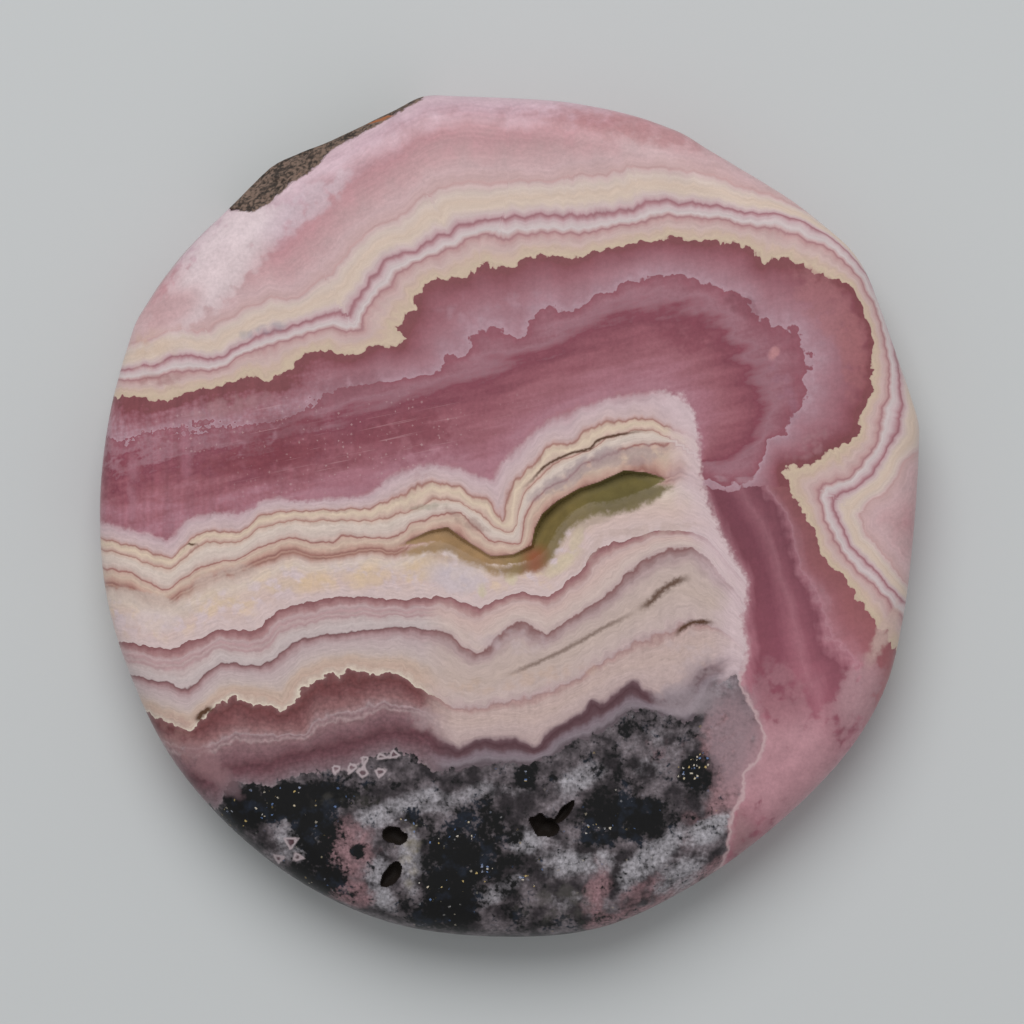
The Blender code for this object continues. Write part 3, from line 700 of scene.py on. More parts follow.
LEG_BANDS = (
    (0.00, 160, 118, 126), (0.25, 144, 92, 103), (0.60, 120, 66, 78), (1.50, 120, 66, 79),
    (2.05, 136, 82, 94), (2.50, 146, 94, 105), (2.85, 132, 78, 90), (3.40, 120, 68, 80),
    (3.75, 146, 95, 106), (3.97, 157, 108, 118), (4.00, 163, 116, 126), (4.30, 152, 102, 110),
    (5.00, 142, 88, 94), (5.60, 140, 86, 90), (6.00, 138, 84, 88),
)
UPPER_BANDS = (
    (-0.35, 150, 96, 104), (-0.10, 160, 112, 120), (0.10, 182, 152, 158), (0.30, 192, 168, 172),
    (0.62, 194, 170, 170), (0.74, 184, 152, 148), (0.80, 154, 108, 100), (0.86, 194, 168, 154),
    (0.98, 208, 188, 168), (1.15, 200, 176, 162), (1.25, 186, 154, 144), (1.31, 162, 120, 110),
    (1.37, 198, 174, 162), (1.60, 206, 190, 180), (1.95, 200, 182, 174), (2.16, 190, 164, 156),
    (2.25, 150, 98, 92), (2.31, 190, 160, 148), (2.50, 200, 176, 160), (2.78, 182, 146, 134),
    (2.95, 148, 104, 96), (3.04, 174, 136, 124), (3.14, 150, 108, 98), (3.26, 178, 144, 134),
    (3.50, 202, 180, 170), (3.80, 206, 188, 176),
    (4.30, 202, 180, 170), (5.00, 200, 176, 170), (5.80, 201, 180, 178), (6.00, 200, 180, 179),
)
MAUVE_BANDS = (
    (6.00, 126, 82, 84), (6.15, 142, 98, 100), (6.40, 164, 126, 127), (6.60, 184, 158, 159),
    (6.80, 176, 144, 146), (6.95, 182, 157, 157), (7.10, 174, 143, 145), (7.25, 186, 166, 165),
    (7.60, 191, 176, 175), (7.92, 184, 168, 168), (8.00, 116, 80, 82), (8.15, 144, 108, 110),
    (8.40, 168, 140, 142), (8.80, 182, 162, 163), (9.30, 186, 168, 167), (9.70, 188, 170, 165),
    (10.10, 188, 165, 152), (10.50, 188, 162, 149), (10.80, 192, 172, 160), (11.00, 214, 202, 186),
)
MAUVE_BANDS_RIGHT = (
    (6.00, 136, 92, 94), (6.15, 150, 106, 108), (6.40, 172, 138, 136), (6.60, 190, 164, 161),
    (6.90, 196, 170, 164), (7.60, 196, 176, 170), (7.92, 184, 162, 160), (8.00, 130, 92, 92),
    (8.40, 170, 146, 146), (8.80, 186, 166, 160), (9.60, 186, 166, 158), (10.50, 188, 168, 164),
    (10.85, 180, 157, 157), (11.00, 165, 135, 134),
)
RED_BANDS = (
    (11.00, 130, 92, 92), (11.15, 116, 73, 74), (11.40, 107, 61, 62), (11.80, 120, 76, 78),
    (12.30, 140, 100, 101), (12.55, 150, 118, 120), (12.62, 165, 140, 143), (12.72, 142, 112, 116),
    (12.85, 160, 134, 136), (12.95, 136, 104, 108), (13.30, 124, 90, 96), (13.70, 104, 68, 74),
    (13.85, 95, 58, 65), (14.20, 106, 70, 77), (14.70, 118, 92, 98), (15.00, 124, 104, 110),
    (15.12, 132, 116, 120), (15.20, 96, 84, 90),
)
RED_BANDS_RIGHT = (
    (11.00, 162, 130, 128), (11.20, 176, 146, 142), (11.50, 187, 163, 158), (12.20, 188, 165, 159),
    (12.90, 186, 164, 161), (13.30, 178, 156, 154), (13.50, 150, 128, 130), (13.64, 100, 74, 80),
    (13.85, 82, 54, 60), (14.10, 94, 68, 74), (14.40, 126, 110, 118), (14.70, 128, 116, 123),
    (14.95, 92, 80, 86), (15.10, 96, 84, 90), (15.20, 76, 66, 70),
)

# How deep in the growth each front lies, and the corners that close a front round what grew later
CORE_TEETH_DEPTH = 2.6
LEG_TEETH_DEPTH = 4.0
MAUVE_DEPTH = 6.0
RED_DEPTH = 11.0
MARGIN_DEPTH = 15.2
FAR = 30.0
PAST_BOTTOM = ((FAR, -FAR), (-FAR, -FAR))
PAST_TOP = ((-FAR, FAR), (FAR, FAR))
UNDER_CORE = ((7.2, -2.4), (-24.7, -4.6))
LEFT_OF_SIDE = ((10.5, -FAR), (-FAR, -FAR))
TONGUE_ON = ((12.0, 4.6), (15.5, 0.6))

# The bands lean on their way down through the stone, and clay is spilled just below the pocket
BAND_LEAN = np.array((0.12, 0.3))
SILT_SHIFT = np.array((0.25, -0.45))
LINE_STEP = 0.45
CRACK_REACH = 0.5
CRACK_FADE = 0.2
PATCH_SOFTNESS = 1.5


def smooth_line(points):
    """A smooth line through points read along a growth front."""
    points = np.array(points)
    ends = np.concatenate((2 * points[:1] - points[1:2], points, 2 * points[-1:] - points[-2:-1]))
    pieces = []
    for before, start, end, after in zip(ends, ends[1:], ends[2:], ends[3:]):
        steps = max(1, round(np.hypot(*(end - start)) / LINE_STEP))
        t = (np.arange(steps) / steps)[:, None]
        bend = 2 * before - 5 * start + 4 * end - after
        twist = 3 * start - before - 3 * end + after
        pieces.append(start + 0.5 * ((end - before) * t + bend * t ** 2 + twist * t ** 3))
    return np.concatenate(pieces + [points[-1:]])


def signed_gap(points, line, outline):
    """Distance to a line, negative outside an outline."""
    return nearest(points, line)[0] * np.where(inside(points, outline), 1, -1)


def growth_depth(points, fronts):
    """Depth in the growth, in millimetres, at each point. A front is its line, the corners that
    close it round what grew after it, and its depth: between two fronts the depth runs evenly."""
    gaps, passed = [], []
    for line, closing, _ in fronts:
        gaps.append(nearest(points, line)[0])
        passed.append(inside(points, np.concatenate((line, closing))))
    depth = fronts[0][2] - gaps[0]
    for number in range(len(fronts)):
        now = passed[number] if number == 0 else now & passed[number]
        reached = fronts[number][2]
        if number + 1 < len(fronts):
            span = fronts[number + 1][2] - reached
            beyond = reached + span * gaps[number] / (gaps[number] + gaps[number + 1] + TINY)
        else:
            beyond = reached + gaps[number]
        depth = np.where(now, beyond, depth)
    return depth


def patches(points, table):
    """How strongly soft oval patches cover each point: each is its middle, length, width, turn in
    degrees and strength."""
    cover = np.zeros(len(points))
    for *oval, strength in table:
        soft = np.clip(PATCH_SOFTNESS - oval_reach(points, *oval), 0, 1)
        cover = cover + strength * soft * soft * (3 - 2 * soft)
    return cover


def tone(red, green, blue):
    """A colour as it looks on a screen, in 255 steps, as the light that it stands for."""
    parts = []
    for part in (red / 255, green / 255, blue / 255):
        parts.append(part / 12.92 if part < 0.04045 else ((part + 0.055) / 1.055) ** 2.4)
    return (*parts, 1.0)


def tints_and_sheen_over(points, table):
    """Colour and share of the soft tints, painted sheen among them, that lie over each point, later ones on
    top.
    """
    colour = np.zeros((len(points), 3))
    share = np.zeros(len(points))
    for *patch, screen_colour in table:
        cover = np.clip(patches(points, (patch,)), 0, 1)
        colour = colour * (1 - cover[:, None]) + np.array(tone(*screen_colour)[:3]) * cover[:, None]
        share = 1 - (1 - share) * (1 - cover)
    return np.column_stack((colour / np.maximum(share, TINY)[:, None], share))


def crack_fields(points, table):
    """Signed distance to the nearest crack in its own half widths, and how dark it is there."""
    gap = np.full(len(points), FAR)
    dark = np.zeros(len(points))
    for line, half_width, strength in table:
        line = smooth_line(line)
        distance, along = nearest(points, line)
        last = nearest(line[-1:], line)[1][0]
        ends = np.clip(np.minimum(along, last - along) / (last * CRACK_FADE), 0, 1)
        below = inside(points, np.concatenate((line, PAST_BOTTOM)))
        signed = distance / half_width * np.where(below, 1, -1)
        closer = distance < np.abs(gap) * half_width
        gap = np.where(closer, signed, gap)
        dark = np.where(closer, strength * ends * (distance < CRACK_REACH), dark)
    return gap, dark


under_face = np.clip(EDGE_HEIGHT - points[:, 2], 0, None)
places = points[:, :2] + under_face[:, None] * BAND_LEAN

rind_start = smooth_line(RIND_START)
tongue_top = smooth_line(TONGUE_START)
tongue_side = smooth_line(TONGUE_SIDE)
tongue_edge = np.concatenate((tongue_top, tongue_side))

rind_fronts = []
for line, depth in (
    (RIND_START, 0.0), (RIND_INNER_LINE, 1.25), (RIND_OUTER_LINE, 2.2), (RIND_CREAM_EDGE, 4.1),
):
    rind_fronts.append((smooth_line(line)[::-1], PAST_TOP, depth))
tongue_fronts = [(np.concatenate((tongue_top, TONGUE_ON)), PAST_BOTTOM, 0.0)]
for line, depth in (
    (LINE_1, 0.8), (LINE_2, 1.3), (LINE_3, 2.25), (LINE_4, 2.95),
    (MAUVE_START, MAUVE_DEPTH), (MAUVE_LINE, 8.0), (RED_START, RED_DEPTH), (RED_WAVES, 12.6),
    (SMOKY_LINE, 13.8), (MARGIN_START, MARGIN_DEPTH),
):
    tongue_fronts.append((smooth_line(line), PAST_BOTTOM, depth))
leg_start = smooth_line(LEG_START)
lace = np.full(len(places), -FAR)
for corners in LACE:
    lace = np.maximum(lace, signed_gap(places, np.array(corners + corners[:1]), corners))
crack_gap, crack_dark = crack_fields(places, CRACKS)
pocket_ring = np.concatenate((POCKET_OUTLINE, POCKET_OUTLINE[:1]))
levels = {
    "rind": growth_depth(places, rind_fronts),
    "rind_along": nearest(places, smooth_line(RIND_INNER_LINE))[1],
    "core": growth_depth(places, (
        (rind_start, PAST_BOTTOM, 0.0),
        (smooth_line(CORE_TEETH), UNDER_CORE, CORE_TEETH_DEPTH),
        (smooth_line(CORE_VEIL), UNDER_CORE, 4.2),
        (tongue_edge, LEFT_OF_SIDE, 9.2),
    )),
    "leg": growth_depth(places, (
        (tongue_side, ((FAR, -FAR), (FAR, 6.7)), 0.0),
        (smooth_line(LEG_TEETH), ((12.0, -FAR), (FAR, -FAR), (FAR, 2.5)), LEG_TEETH_DEPTH),
        (rind_start, PAST_TOP[::-1], 6.0),
    )),
    "leg_gap": signed_gap(places, leg_start, np.concatenate((leg_start, PAST_BOTTOM))),
    "tongue": growth_depth(places, tongue_fronts),
    "tongue_gap": signed_gap(places, tongue_edge, np.concatenate((tongue_edge, LEFT_OF_SIDE))),
    "side_gap": nearest(places, tongue_side)[0],
    "hollow": hollow_depth,
    "chip_out": chip_out,
    "silt": signed_gap(places - SILT_SHIFT, pocket_ring, POCKET_OUTLINE),
    "under_face": under_face,
    "ore": patches(places, ORE),
    "quartz": patches(places, QUARTZ),
    "blush": patches(places, BLUSH),
    "glitter": patches(places, GLITTER),
    "dusty": patches(places, DUSTY),
    "lace": lace,
    "crack_gap": crack_gap,
    "crack_dark": crack_dark,
}
for name, values in levels.items():
    level = slab_mesh.attributes.new(name, "FLOAT", "POINT")
    level.data.foreach_set("value", values.astype(np.float32))
tint_and_sheen = slab_mesh.attributes.new("tint_and_sheen", "FLOAT_COLOR", "POINT")
tint_and_sheen.data.foreach_set("color", tints_and_sheen_over(places, TINTS_AND_SHEEN).astype(np.float32).ravel())


def node_math(operation, swapped=False):
    """A way of joining two values with one node."""
    def joined(value, other):
        first, second = (other, value) if swapped else (value, other)
        return value.paint.add("ShaderNodeMath", {0: first, 1: second}, operation=operation)
    return joined


class Value:
    """What one output of a node gives. Plain arithmetic with it adds nodes."""

    __add__, __radd__ = node_math("ADD"), node_math("ADD", True)
    __sub__, __rsub__ = node_math("SUBTRACT"), node_math("SUBTRACT", True)
    __mul__, __rmul__ = node_math("MULTIPLY"), node_math("MULTIPLY", True)

    def __init__(self, paint, socket):
        self.paint = paint
        self.socket = socket

    def __abs__(self):
        return self.paint.add("ShaderNodeMath", {0: self}, operation="ABSOLUTE")

    def beside(self, output):
        """Another output of the same node."""
        return Value(self.paint, self.socket.node.outputs[output])


class Paint:
    """Short ways to add nodes to one new material."""

    def __init__(self, name):
        self.material = bpy.data.materials.new(name)
        self.material.use_nodes = True
        self.tree = self.material.node_tree
        self.shader = self.tree.nodes["Principled BSDF"]
        self.place = self.scale(self.add("ShaderNodeTexCoord", {}, output=3), 1 / MM)

    def add(self, kind, values, output=0, **settings):
        node = self.tree.nodes.new(kind)
        for name, setting in settings.items():
            setattr(node, name, setting)
        for key, value in values.items():
            self.join(value, node.inputs[key])
        return Value(self, node.outputs[output])

    def join(self, value, socket):
        if isinstance(value, Value):
            self.tree.links.new(value.socket, socket)
        else:
            socket.default_value = value

    def level(self, name, output=2):
        """One of the slab's own levels."""
        return self.add("ShaderNodeAttribute", {}, output=output, attribute_name=name)

    def step(self, value, start, end, low=0.0, high=1.0):
        """From low to high as the value goes from start to end."""
        return self.add("ShaderNodeMapRange", {
            "Value": value, "From Min": start, "From Max": end, "To Min": low, "To Max": high,
        }, interpolation_type="SMOOTHSTEP")

    def ridge(self, value, middle, half_width):
        """1 where the value is at the middle, down to 0 a half width away."""
        return self.step(abs(value - middle), half_width, 0.0)

    def stretched(self, x, y, turn=0.0):
        """The place with each direction multiplied, so that a pattern on it is drawn out."""
        turned = self.add("ShaderNodeVectorRotate", {
            "Vector": self.place, "Angle": math.radians(turn)}, rotation_type="Z_AXIS")
        return self.add("ShaderNodeVectorMath", {0: turned, 1: (x, y, 1.0)}, operation="MULTIPLY")

    def noise(self, grain, detail=2.0, place=None):
        """Uneven value round zero, its features about one grain, in millimetres, apart."""
        return self.add("ShaderNodeTexNoise", {
            "Vector": place or self.place, "Scale": 1 / grain, "Detail": detail}) - 0.5

    def cells(self, grain, place=None, metric="MANHATTAN"):
        """Distance from the middle of the nearest crystal, and two numbers of the crystal's own."""
        gap = self.add("ShaderNodeTexVoronoi", {
            "Vector": place or self.place, "Scale": 1 / grain}, distance=metric)
        own = self.add("ShaderNodeSeparateColor", {0: gap.beside(1)})
        return gap, own, own.beside(1)

    def columns(self, depth, along, reach):
        """Zigzag that runs through the bands, as the ends of the columns of crystals that grew there."""
        place = self.add("ShaderNodeCombineXYZ", {0: along, 1: depth * COLUMN_SLENDERNESS})
        ends, _, _ = self.cells(COLUMN_WIDTH, place)
        return ends * -reach + reach * COLUMN_MIDDLE

    def mix(self, share, under, over):
        return self.add("ShaderNodeMix", {0: share, 6: under, 7: over}, output=2, data_type="RGBA")

    def scale(self, colour, factor):
        return self.add("ShaderNodeVectorMath", {0: colour, "Scale": factor}, operation="SCALE")

    def bands(self, depth, stops):
        """Colours at set depths in the growth, in millimetres."""
        low, high = stops[0][0], stops[-1][0]
        share = self.add("ShaderNodeMapRange", {"Value": depth, "From Min": low, "From Max": high})
        ramp = self.add("ShaderNodeValToRGB", {0: share})
        elements = ramp.socket.node.color_ramp.elements
        elements.remove(elements[1])
        elements[0].position = 0.0
        elements[0].color = tone(*stops[0][1:])
        for reached, *screen_colour in stops[1:]:
            elements.new((reached - low) / (high - low)).color = tone(*screen_colour)
        return ramp


# What the whole stone shares: crystal prisms, wavering growth, soft, curdled and fine unevenness
COLUMN_SLENDERNESS = 0.22
COLUMN_WIDTH = 0.7
COLUMN_MIDDLE = 0.45

stone = Paint("banded_stone")
prisms, _, _ = stone.cells(0.62)
splinters, splinter_kind, _ = stone.cells(0.24)
teeth = 0.5 - prisms * 0.75 - splinters * 0.25
waver = stone.noise(1.4) * 0.2 + stone.noise(0.3) * 0.07
soft = stone.noise(1.1, 3.0)
curdled = stone.noise(0.75, 3.0, stone.stretched(1.0, 1.0, 37))
fine = stone.noise(0.2, 3.0)
dust = stone.noise(0.07, 1.0)
wisps = stone.noise(1.0, 3.0, stone.stretched(0.35, 1.6, -14))
streaks = stone.noise(0.7, 3.0, stone.stretched(1.8, 0.1))
across = stone.add("ShaderNodeSeparateXYZ", {0: stone.place})
upward = across.beside(1)


def toothed(level, near, reach, rest=0.06, along=None, zigzag=0.0):
    """A growth depth whose lines waver, with crystal teeth at one depth."""
    depth = stone.level(level)
    if along:
        depth = depth + stone.columns(depth, along, zigzag)
    size = stone.step(abs(depth - near), 0.2, 1.0, reach, rest)
    return depth + waver + teeth * size


rind_along = stone.level("rind_along")
rind = toothed("rind", 0.0, 0.3, 0.02, rind_along, 0.26)
leftness = stone.step(across, -8.0, -13.0)
core = toothed("core", CORE_TEETH_DEPTH, 0.5, 0.2) + leftness * (wisps * 3.4 - splinters * 0.7)
leg = toothed("leg", LEG_TEETH_DEPTH, 0.45)
tongue = toothed("tongue", RED_DEPTH, 0.25, 0.03, across, 0.17)
tongue = tongue + teeth * stone.step(tongue, 5.2, MAUVE_DEPTH, 0.0, 0.14)
tongue_gap = toothed("tongue_gap", 0.0, 0.25)
rightness = stone.step(across + soft, -5.2, -3.0)

# Raspberry core, cloudy inside the teeth, with upright growth streaks at the left
CORE_LIGHT = 1.09
cloudy = stone.step(core, 2.7, 4.0)
colour = stone.bands(core + cloudy * (wisps * 3.2 + fine * 0.7), CORE_BANDS)
leg_streaks = stone.noise(0.5, 2.0, stone.stretched(1.5, 0.25, -14))
in_leg = stone.step(stone.level("leg_gap") + teeth * 0.3, 0.0, 0.08)
colour = stone.mix(in_leg, colour, stone.bands(leg + leg_streaks * 0.5, LEG_BANDS))
streak_share = stone.step(across, -6.0, -17.0, 0.25, 1.0)
colour = stone.scale(colour, 1.0 + streaks * streak_share * 0.6 + wisps * 0.25)
colour = stone.scale(colour, CORE_LIGHT + fine * 0.22 + stone.step(upward, 0.0, -10.0, 0.0, 0.36))

# Tongue: fine layers follow the bands
TONGUE_LIGHT = 1.19
LILAC_RIM = tone(200, 178, 182)
PEACH_NODULE = tone(216, 190, 160)
LILAC_NODULE = tone(204, 188, 196)
layer_place = stone.add("ShaderNodeCombineXYZ", {0: tongue + fine * 0.05, 1: across * 0.12})
layers = stone.noise(0.12, 2.0, layer_place)
lower = stone.mix(rightness, stone.bands(tongue, RED_BANDS), stone.bands(tongue, RED_BANDS_RIGHT))
middle = stone.mix(rightness, stone.bands(tongue, MAUVE_BANDS), stone.bands(tongue, MAUVE_BANDS_RIGHT))
past_mauve = stone.step(tongue, MAUVE_DEPTH - 0.01, MAUVE_DEPTH + 0.01)
past_red = stone.step(tongue, RED_DEPTH - 0.02, RED_DEPTH + 0.02)
banded = stone.mix(past_mauve, stone.bands(tongue, UPPER_BANDS), middle)
banded = stone.mix(past_red, banded, lower)
side_rim = stone.step(stone.level("side_gap") + soft * 1.4, 0.5, 2.2, 0.85, 0.0)
banded = stone.mix(side_rim, banded, LILAC_RIM)
nodules = stone.ridge(tongue, 4.6, 1.5) * stone.step(across + soft * 4.0, 6.0, 2.0)
banded = stone.mix(nodules * stone.step(soft, 0.0, 0.12, 0.0, 0.6), banded, PEACH_NODULE)
banded = stone.mix(nodules * stone.step(curdled, 0.02, -0.14, 0.0, 0.6), banded, LILAC_NODULE)
sugary = stone.step(tongue, 10.9, 11.3, 0.12, 0.55) * stone.step(rightness, 0.0, 1.0, 1.0, 0.3)
sugary = sugary * (fine - splinters * 0.5 + 0.2)
fibrous = stone.ridge(tongue, 11.2, 3.2) * stone.step(rightness, 0.0, 1.0, 0.1, 0.3)
banded = stone.scale(banded, TONGUE_LIGHT + layers * 0.5 + sugary + streaks * fibrous)

# Margin: ore, quartz and pink carbonate in one another's gaps
SMOKE_DARK = tone(48, 42, 46)
SMOKE_PALE = tone(122, 112, 117)
BLUSH_PINK = tone(152, 118, 123)
QUARTZ_GREY = tone(170, 166, 172)
ORE_BLACK = tone(7, 7, 9)
# The bluish colour below is painted sheen on the black ore
ORE_PAINTED_SHEEN = tone(24, 30, 42)
STEEL_GRAIN = tone(96, 122, 168)
SILVER_GRAIN = tone(206, 196, 178)
BRASS_GRAIN = tone(190, 166, 108)
margin = stone.mix(stone.step(soft, -0.15, 0.17), SMOKE_DARK, SMOKE_PALE)
blush = stone.level("blush") + curdled * 1.5
margin = stone.mix(stone.step(blush, 0.2, 1.0), margin, BLUSH_PINK)
quartz = stone.level("quartz") + soft * 2.0 + fine * 0.8
margin = stone.mix(stone.step(quartz, 0.15, 1.4), margin, QUARTZ_GREY)
ore = stone.level("ore") + curdled * 2.0 + fine * 1.8 + splinters * 0.2
ore_share = stone.step(ore, 0.15, 0.85)
# Black ore with patches of painted bluish sheen
margin = stone.mix(ore_share, margin, stone.mix(stone.step(soft, 0.02, 0.16), ORE_BLACK, ORE_PAINTED_SHEEN))
margin = stone.scale(margin, 1.15 + fine * 1.4 - splinters * 0.35)
grain_gap, grain_kind, grain_tint = stone.cells(0.15, metric="EUCLIDEAN")
chosen = grain_kind + stone.level("glitter") * (0.12 + curdled * 0.5) + ore_share * 0.008
sparkle = stone.step(grain_gap + dust * 1.2, 0.55, 0.3) * stone.step(chosen, 0.985, 1.03)
grain_colour = stone.mix(stone.step(grain_tint, 0.2, 0.5), STEEL_GRAIN, SILVER_GRAIN)
grain_colour = stone.mix(stone.step(grain_tint, 0.6, 0.8), grain_colour, BRASS_GRAIN)
margin = stone.mix(sparkle, margin, grain_colour)
margin_edge = tongue + curdled * 1.1 + splinters * 0.3 - 0.12
in_margin = stone.step(margin_edge, MARGIN_DEPTH - 0.08, MARGIN_DEPTH + 0.04)
banded = stone.mix(in_margin, banded, margin)

# Small crystals at the margin's edge: a pale outline round a dark middle
LACE_PALE = tone(190, 174, 178)
LACE_DARK = tone(104, 72, 80)
lace_line = stone.ridge(stone.level("lace") + fine * 0.12, 0.0, 0.11) * 0.85
banded = stone.mix(lace_line, banded, LACE_PALE)
banded = stone.mix(stone.step(stone.level("lace"), 0.03, 0.1) * 0.6, banded, LACE_DARK)

# Rind, frosty outside its cream bands
RIND_LIGHT = 1.08
in_tongue = stone.step(tongue_gap + fine * 0.5, -0.2, 0.18)
colour = stone.mix(in_tongue, colour, banded)
rind_place = stone.add("ShaderNodeCombineXYZ", {0: rind, 1: rind_along * 0.12})
outer = stone.bands(rind + soft * stone.step(rind, 3.6, 5.5, 0.0, 1.6), RIND_BANDS)
outer = stone.scale(outer, 1.0 + stone.noise(0.16, 2.0, rind_place) * 0.3)
frosty = (soft + fine * 0.6) * stone.step(rind, 3.9, 5.0)
outer = stone.scale(outer, RIND_LIGHT + frosty * 0.4)
colour = stone.mix(stone.step(rind, -0.02, 0.02), colour, outer)

# Tints, ragged and grainy, with painted sheen at the top left, the paler wall there, and the lilac line at
# the tongue's foot
WALL_ROSE = tone(176, 146, 142)
RIM_LILAC = tone(206, 178, 180)
# The tints carry painted sheen on the rounded edge at the top left
tint_and_sheen_share = stone.level("tint_and_sheen", 3)
ragged = tint_and_sheen_share + curdled * 1.4 - prisms * 0.5
tint_and_sheen_share = tint_and_sheen_share * stone.step(ragged, -0.15, 0.35, 0.0, 0.85)
grainy = 1.0 + curdled * 0.4 + fine * 0.3
colour = stone.mix(tint_and_sheen_share, colour, stone.scale(stone.level("tint_and_sheen", 0), grainy))
wall = stone.step(stone.level("under_face") + fine * 0.2, 0.25, 0.7, 0.0, 0.6)
colour = stone.mix(wall * stone.step(upward, 2.0, 6.0), colour, WALL_ROSE)
rim_line = stone.ridge(tongue_gap, 0.0, 0.16) * stone.step(upward, -7.6, -9.0, 0.0, 0.7)
colour = stone.mix(rim_line, colour, RIM_LILAC)

# Dust specks and fine parallel scratches in the polish
SPECK = tone(196, 160, 162)
SCRATCH = tone(196, 152, 158)
dusty = stone.level("dusty")
fleck = stone.step(splinters + dust * 0.6, 0.42, 0.2) * stone.step(dusty, 0.0, 1.0, 0.0, 0.6)
colour = stone.mix(fleck * stone.step(splinter_kind, 0.5, 0.85), colour, SPECK)
scores = stone.noise(0.25, 2.0, stone.stretched(0.07, 3.0, -12))
scored = stone.step(scores, 0.13, 0.24) * stone.step(dusty, 0.1, 0.9, 0.0, 0.45)
colour = stone.mix(scored, colour, SCRATCH)

# Stained cracks, clay in the pocket and spilled below it, and painted shade in the small holes in the margin
CRACK_BROWN = tone(88, 58, 40)
CLAY_TAN = tone(152, 122, 88)
CLAY_OLIVE = tone(118, 102, 60)
CLAY_GREEN = tone(106, 95, 56)
CLAY_RUST = tone(140, 84, 58)
# The next colour is painted shade inside the small holes
PIT_PAINTED_SHADE = tone(30, 22, 17)
crack = stone.ridge(stone.level("crack_gap") + fine * 2.4, 0.0, 2.2)
colour = stone.mix(crack * stone.level("crack_dark"), colour, CRACK_BROWN)
hollow = stone.level("hollow")
silt = stone.level("silt")
in_pocket = stone.step(upward, -10.0, -8.0)
clay_and_pit_shade = stone.mix(stone.step(across, -1.0, 1.5), CLAY_TAN, CLAY_OLIVE)
clay_and_pit_shade = stone.mix(stone.step(across, 2.5, 5.5), clay_and_pit_shade, CLAY_GREEN)
clay_and_pit_shade = stone.scale(clay_and_pit_shade, 1.0 + curdled * 0.6)
rusty = stone.ridge(across, 1.4, 1.1) * stone.step(upward + soft, -1.2, -2.2)
clay_and_pit_shade = stone.mix(rusty, clay_and_pit_shade, CLAY_RUST)
clay_and_pit_shade = stone.scale(clay_and_pit_shade, stone.step(silt, 0.0, 0.9, 1.12, 0.96))
# The small holes below the pocket get painted shade instead of clay
clay_and_pit_shade = stone.mix(in_pocket, PIT_PAINTED_SHADE, clay_and_pit_shade)
shore = stone.step(in_pocket, 0.0, 1.0, 0.05, 0.02)
stain_and_pit_shade = stone.step(hollow + fine * 0.16 - shore, 0.0, 0.07) * stone.step(hollow, 0.0, 0.01)
spill = stone.step(silt + curdled * 0.7 + fine * 0.3, -0.12, 0.3, 0.0, 0.9)
stain_and_pit_shade = stain_and_pit_shade + spill * (1.0 - stain_and_pit_shade)
colour = stone.mix(stain_and_pit_shade, colour, clay_and_pit_shade)

# The break, rough and brown, with rust
BREAK_DARK = tone(58, 50, 45)
BREAK_PALE = tone(128, 107, 95)
BREAK_RUST = tone(165, 100, 62)
broken = stone.step(stone.level("chip_out") + curdled * 0.4 + fine * 0.3, -0.02, 0.12)
break_colour = stone.mix(stone.step(curdled * 0.6 + fine, -0.16, 0.16), BREAK_DARK, BREAK_PALE)
break_colour = stone.mix(stone.step(wisps, 0.17, 0.24), break_colour, BREAK_RUST)
colour = stone.mix(broken, colour, break_colour)

# Polished stone, dull in the clay and in the break
POLISH = 0.3
POLISH_SHINE = 0.3
colour = stone.scale(colour, 1.0 + dust * 0.14 + fine * 0.08)
roughness = POLISH + broken * 0.55 + in_margin * in_tongue * 0.05
roughness = roughness + stone.step(hollow, 0.02, 0.15, 0.0, 0.4) + spill * 0.45
stone.join(colour, stone.shader.inputs["Base Color"])
stone.join(roughness, stone.shader.inputs["Roughness"])
stone.shader.inputs["Specular IOR Level"].default_value = POLISH_SHINE
slab_mesh.materials.append(stone.material)


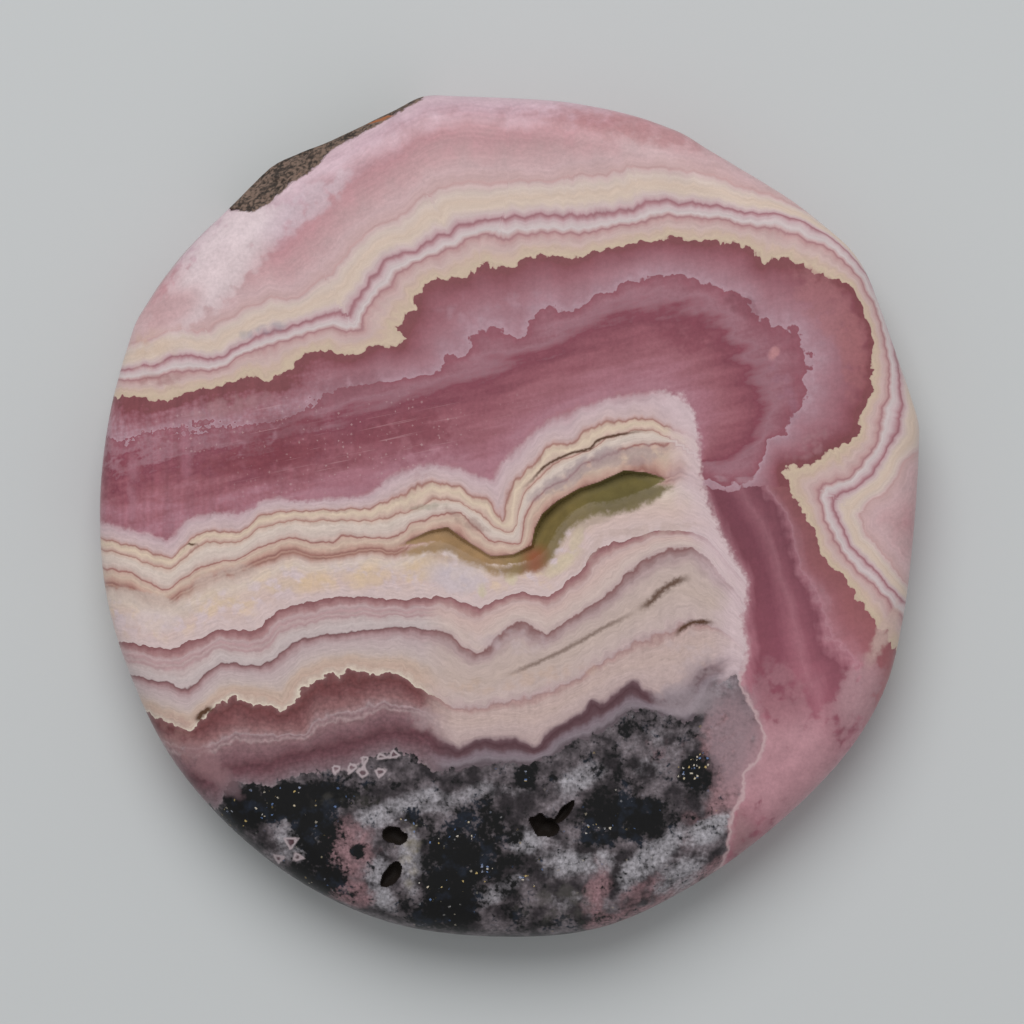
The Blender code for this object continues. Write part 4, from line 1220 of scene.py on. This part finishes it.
# The floor. A plain pale matt surface, far wider than the view, that the slab lies on. It isn't
# part of the slab.
FLOOR_REACH = 0.6
FLOOR_GREY = (207, 210, 211)
FLOOR_ROUGHNESS = 0.9

floor_mesh = bpy.data.meshes.new("floor")
floor_corners = [(x * FLOOR_REACH, y * FLOOR_REACH, 0) for x, y in ((-1, -1), (1, -1), (1, 1), (-1, 1))]
floor_mesh.from_pydata(floor_corners, [], [(0, 1, 2, 3)])
floor = bpy.data.objects.new("floor", floor_mesh)
bpy.context.scene.collection.objects.link(floor)
pale = Paint("pale_floor")
pale.join(tone(*FLOOR_GREY), pale.shader.inputs["Base Color"])
pale.shader.inputs["Roughness"].default_value = FLOOR_ROUGHNESS
floor_mesh.materials.append(pale.material)

# Camera, straight above the slab, a little off its middle
CAMERA_LENS = 191.8
CAMERA_ASIDE = (0.00014, 0.00022)
CAMERA_ABOVE_FACE = 0.3

camera_data = bpy.data.cameras.new("camera")
camera_data.lens = CAMERA_LENS
camera_data.clip_start = 0.01
camera = bpy.data.objects.new("camera", camera_data)
camera.location = (*CAMERA_ASIDE, CAMERA_ABOVE_FACE + THICKNESS * MM)
bpy.context.scene.collection.objects.link(camera)
bpy.context.scene.camera = camera

# Light: a grey room and one wide soft lamp from the top of the view, a little left
ROOM_GREY = 0.64
ROOM_STRENGTH = 0.62
LAMP_WIDTH = 0.5
LAMP_POWER = 2.3
LAMP_PLACE = (-0.06, 0.36, 0.5)

world = bpy.data.worlds.new("grey_room")
world.use_nodes = True
room = world.node_tree.nodes["Background"].inputs
room["Color"].default_value = (ROOM_GREY, ROOM_GREY, ROOM_GREY, 1)
room["Strength"].default_value = ROOM_STRENGTH
bpy.context.scene.world = world
lamp_data = bpy.data.lights.new("lamp", "AREA")
lamp_data.shape = "DISK"
lamp_data.size = LAMP_WIDTH
lamp_data.energy = LAMP_POWER
lamp = bpy.data.objects.new("lamp", lamp_data)
lamp.location = LAMP_PLACE
lamp.rotation_euler = (-lamp.location).to_track_quat("-Z", "Y").to_euler()
bpy.context.scene.collection.objects.link(lamp)
bpy.context.scene.view_settings.view_transform = "Standard"
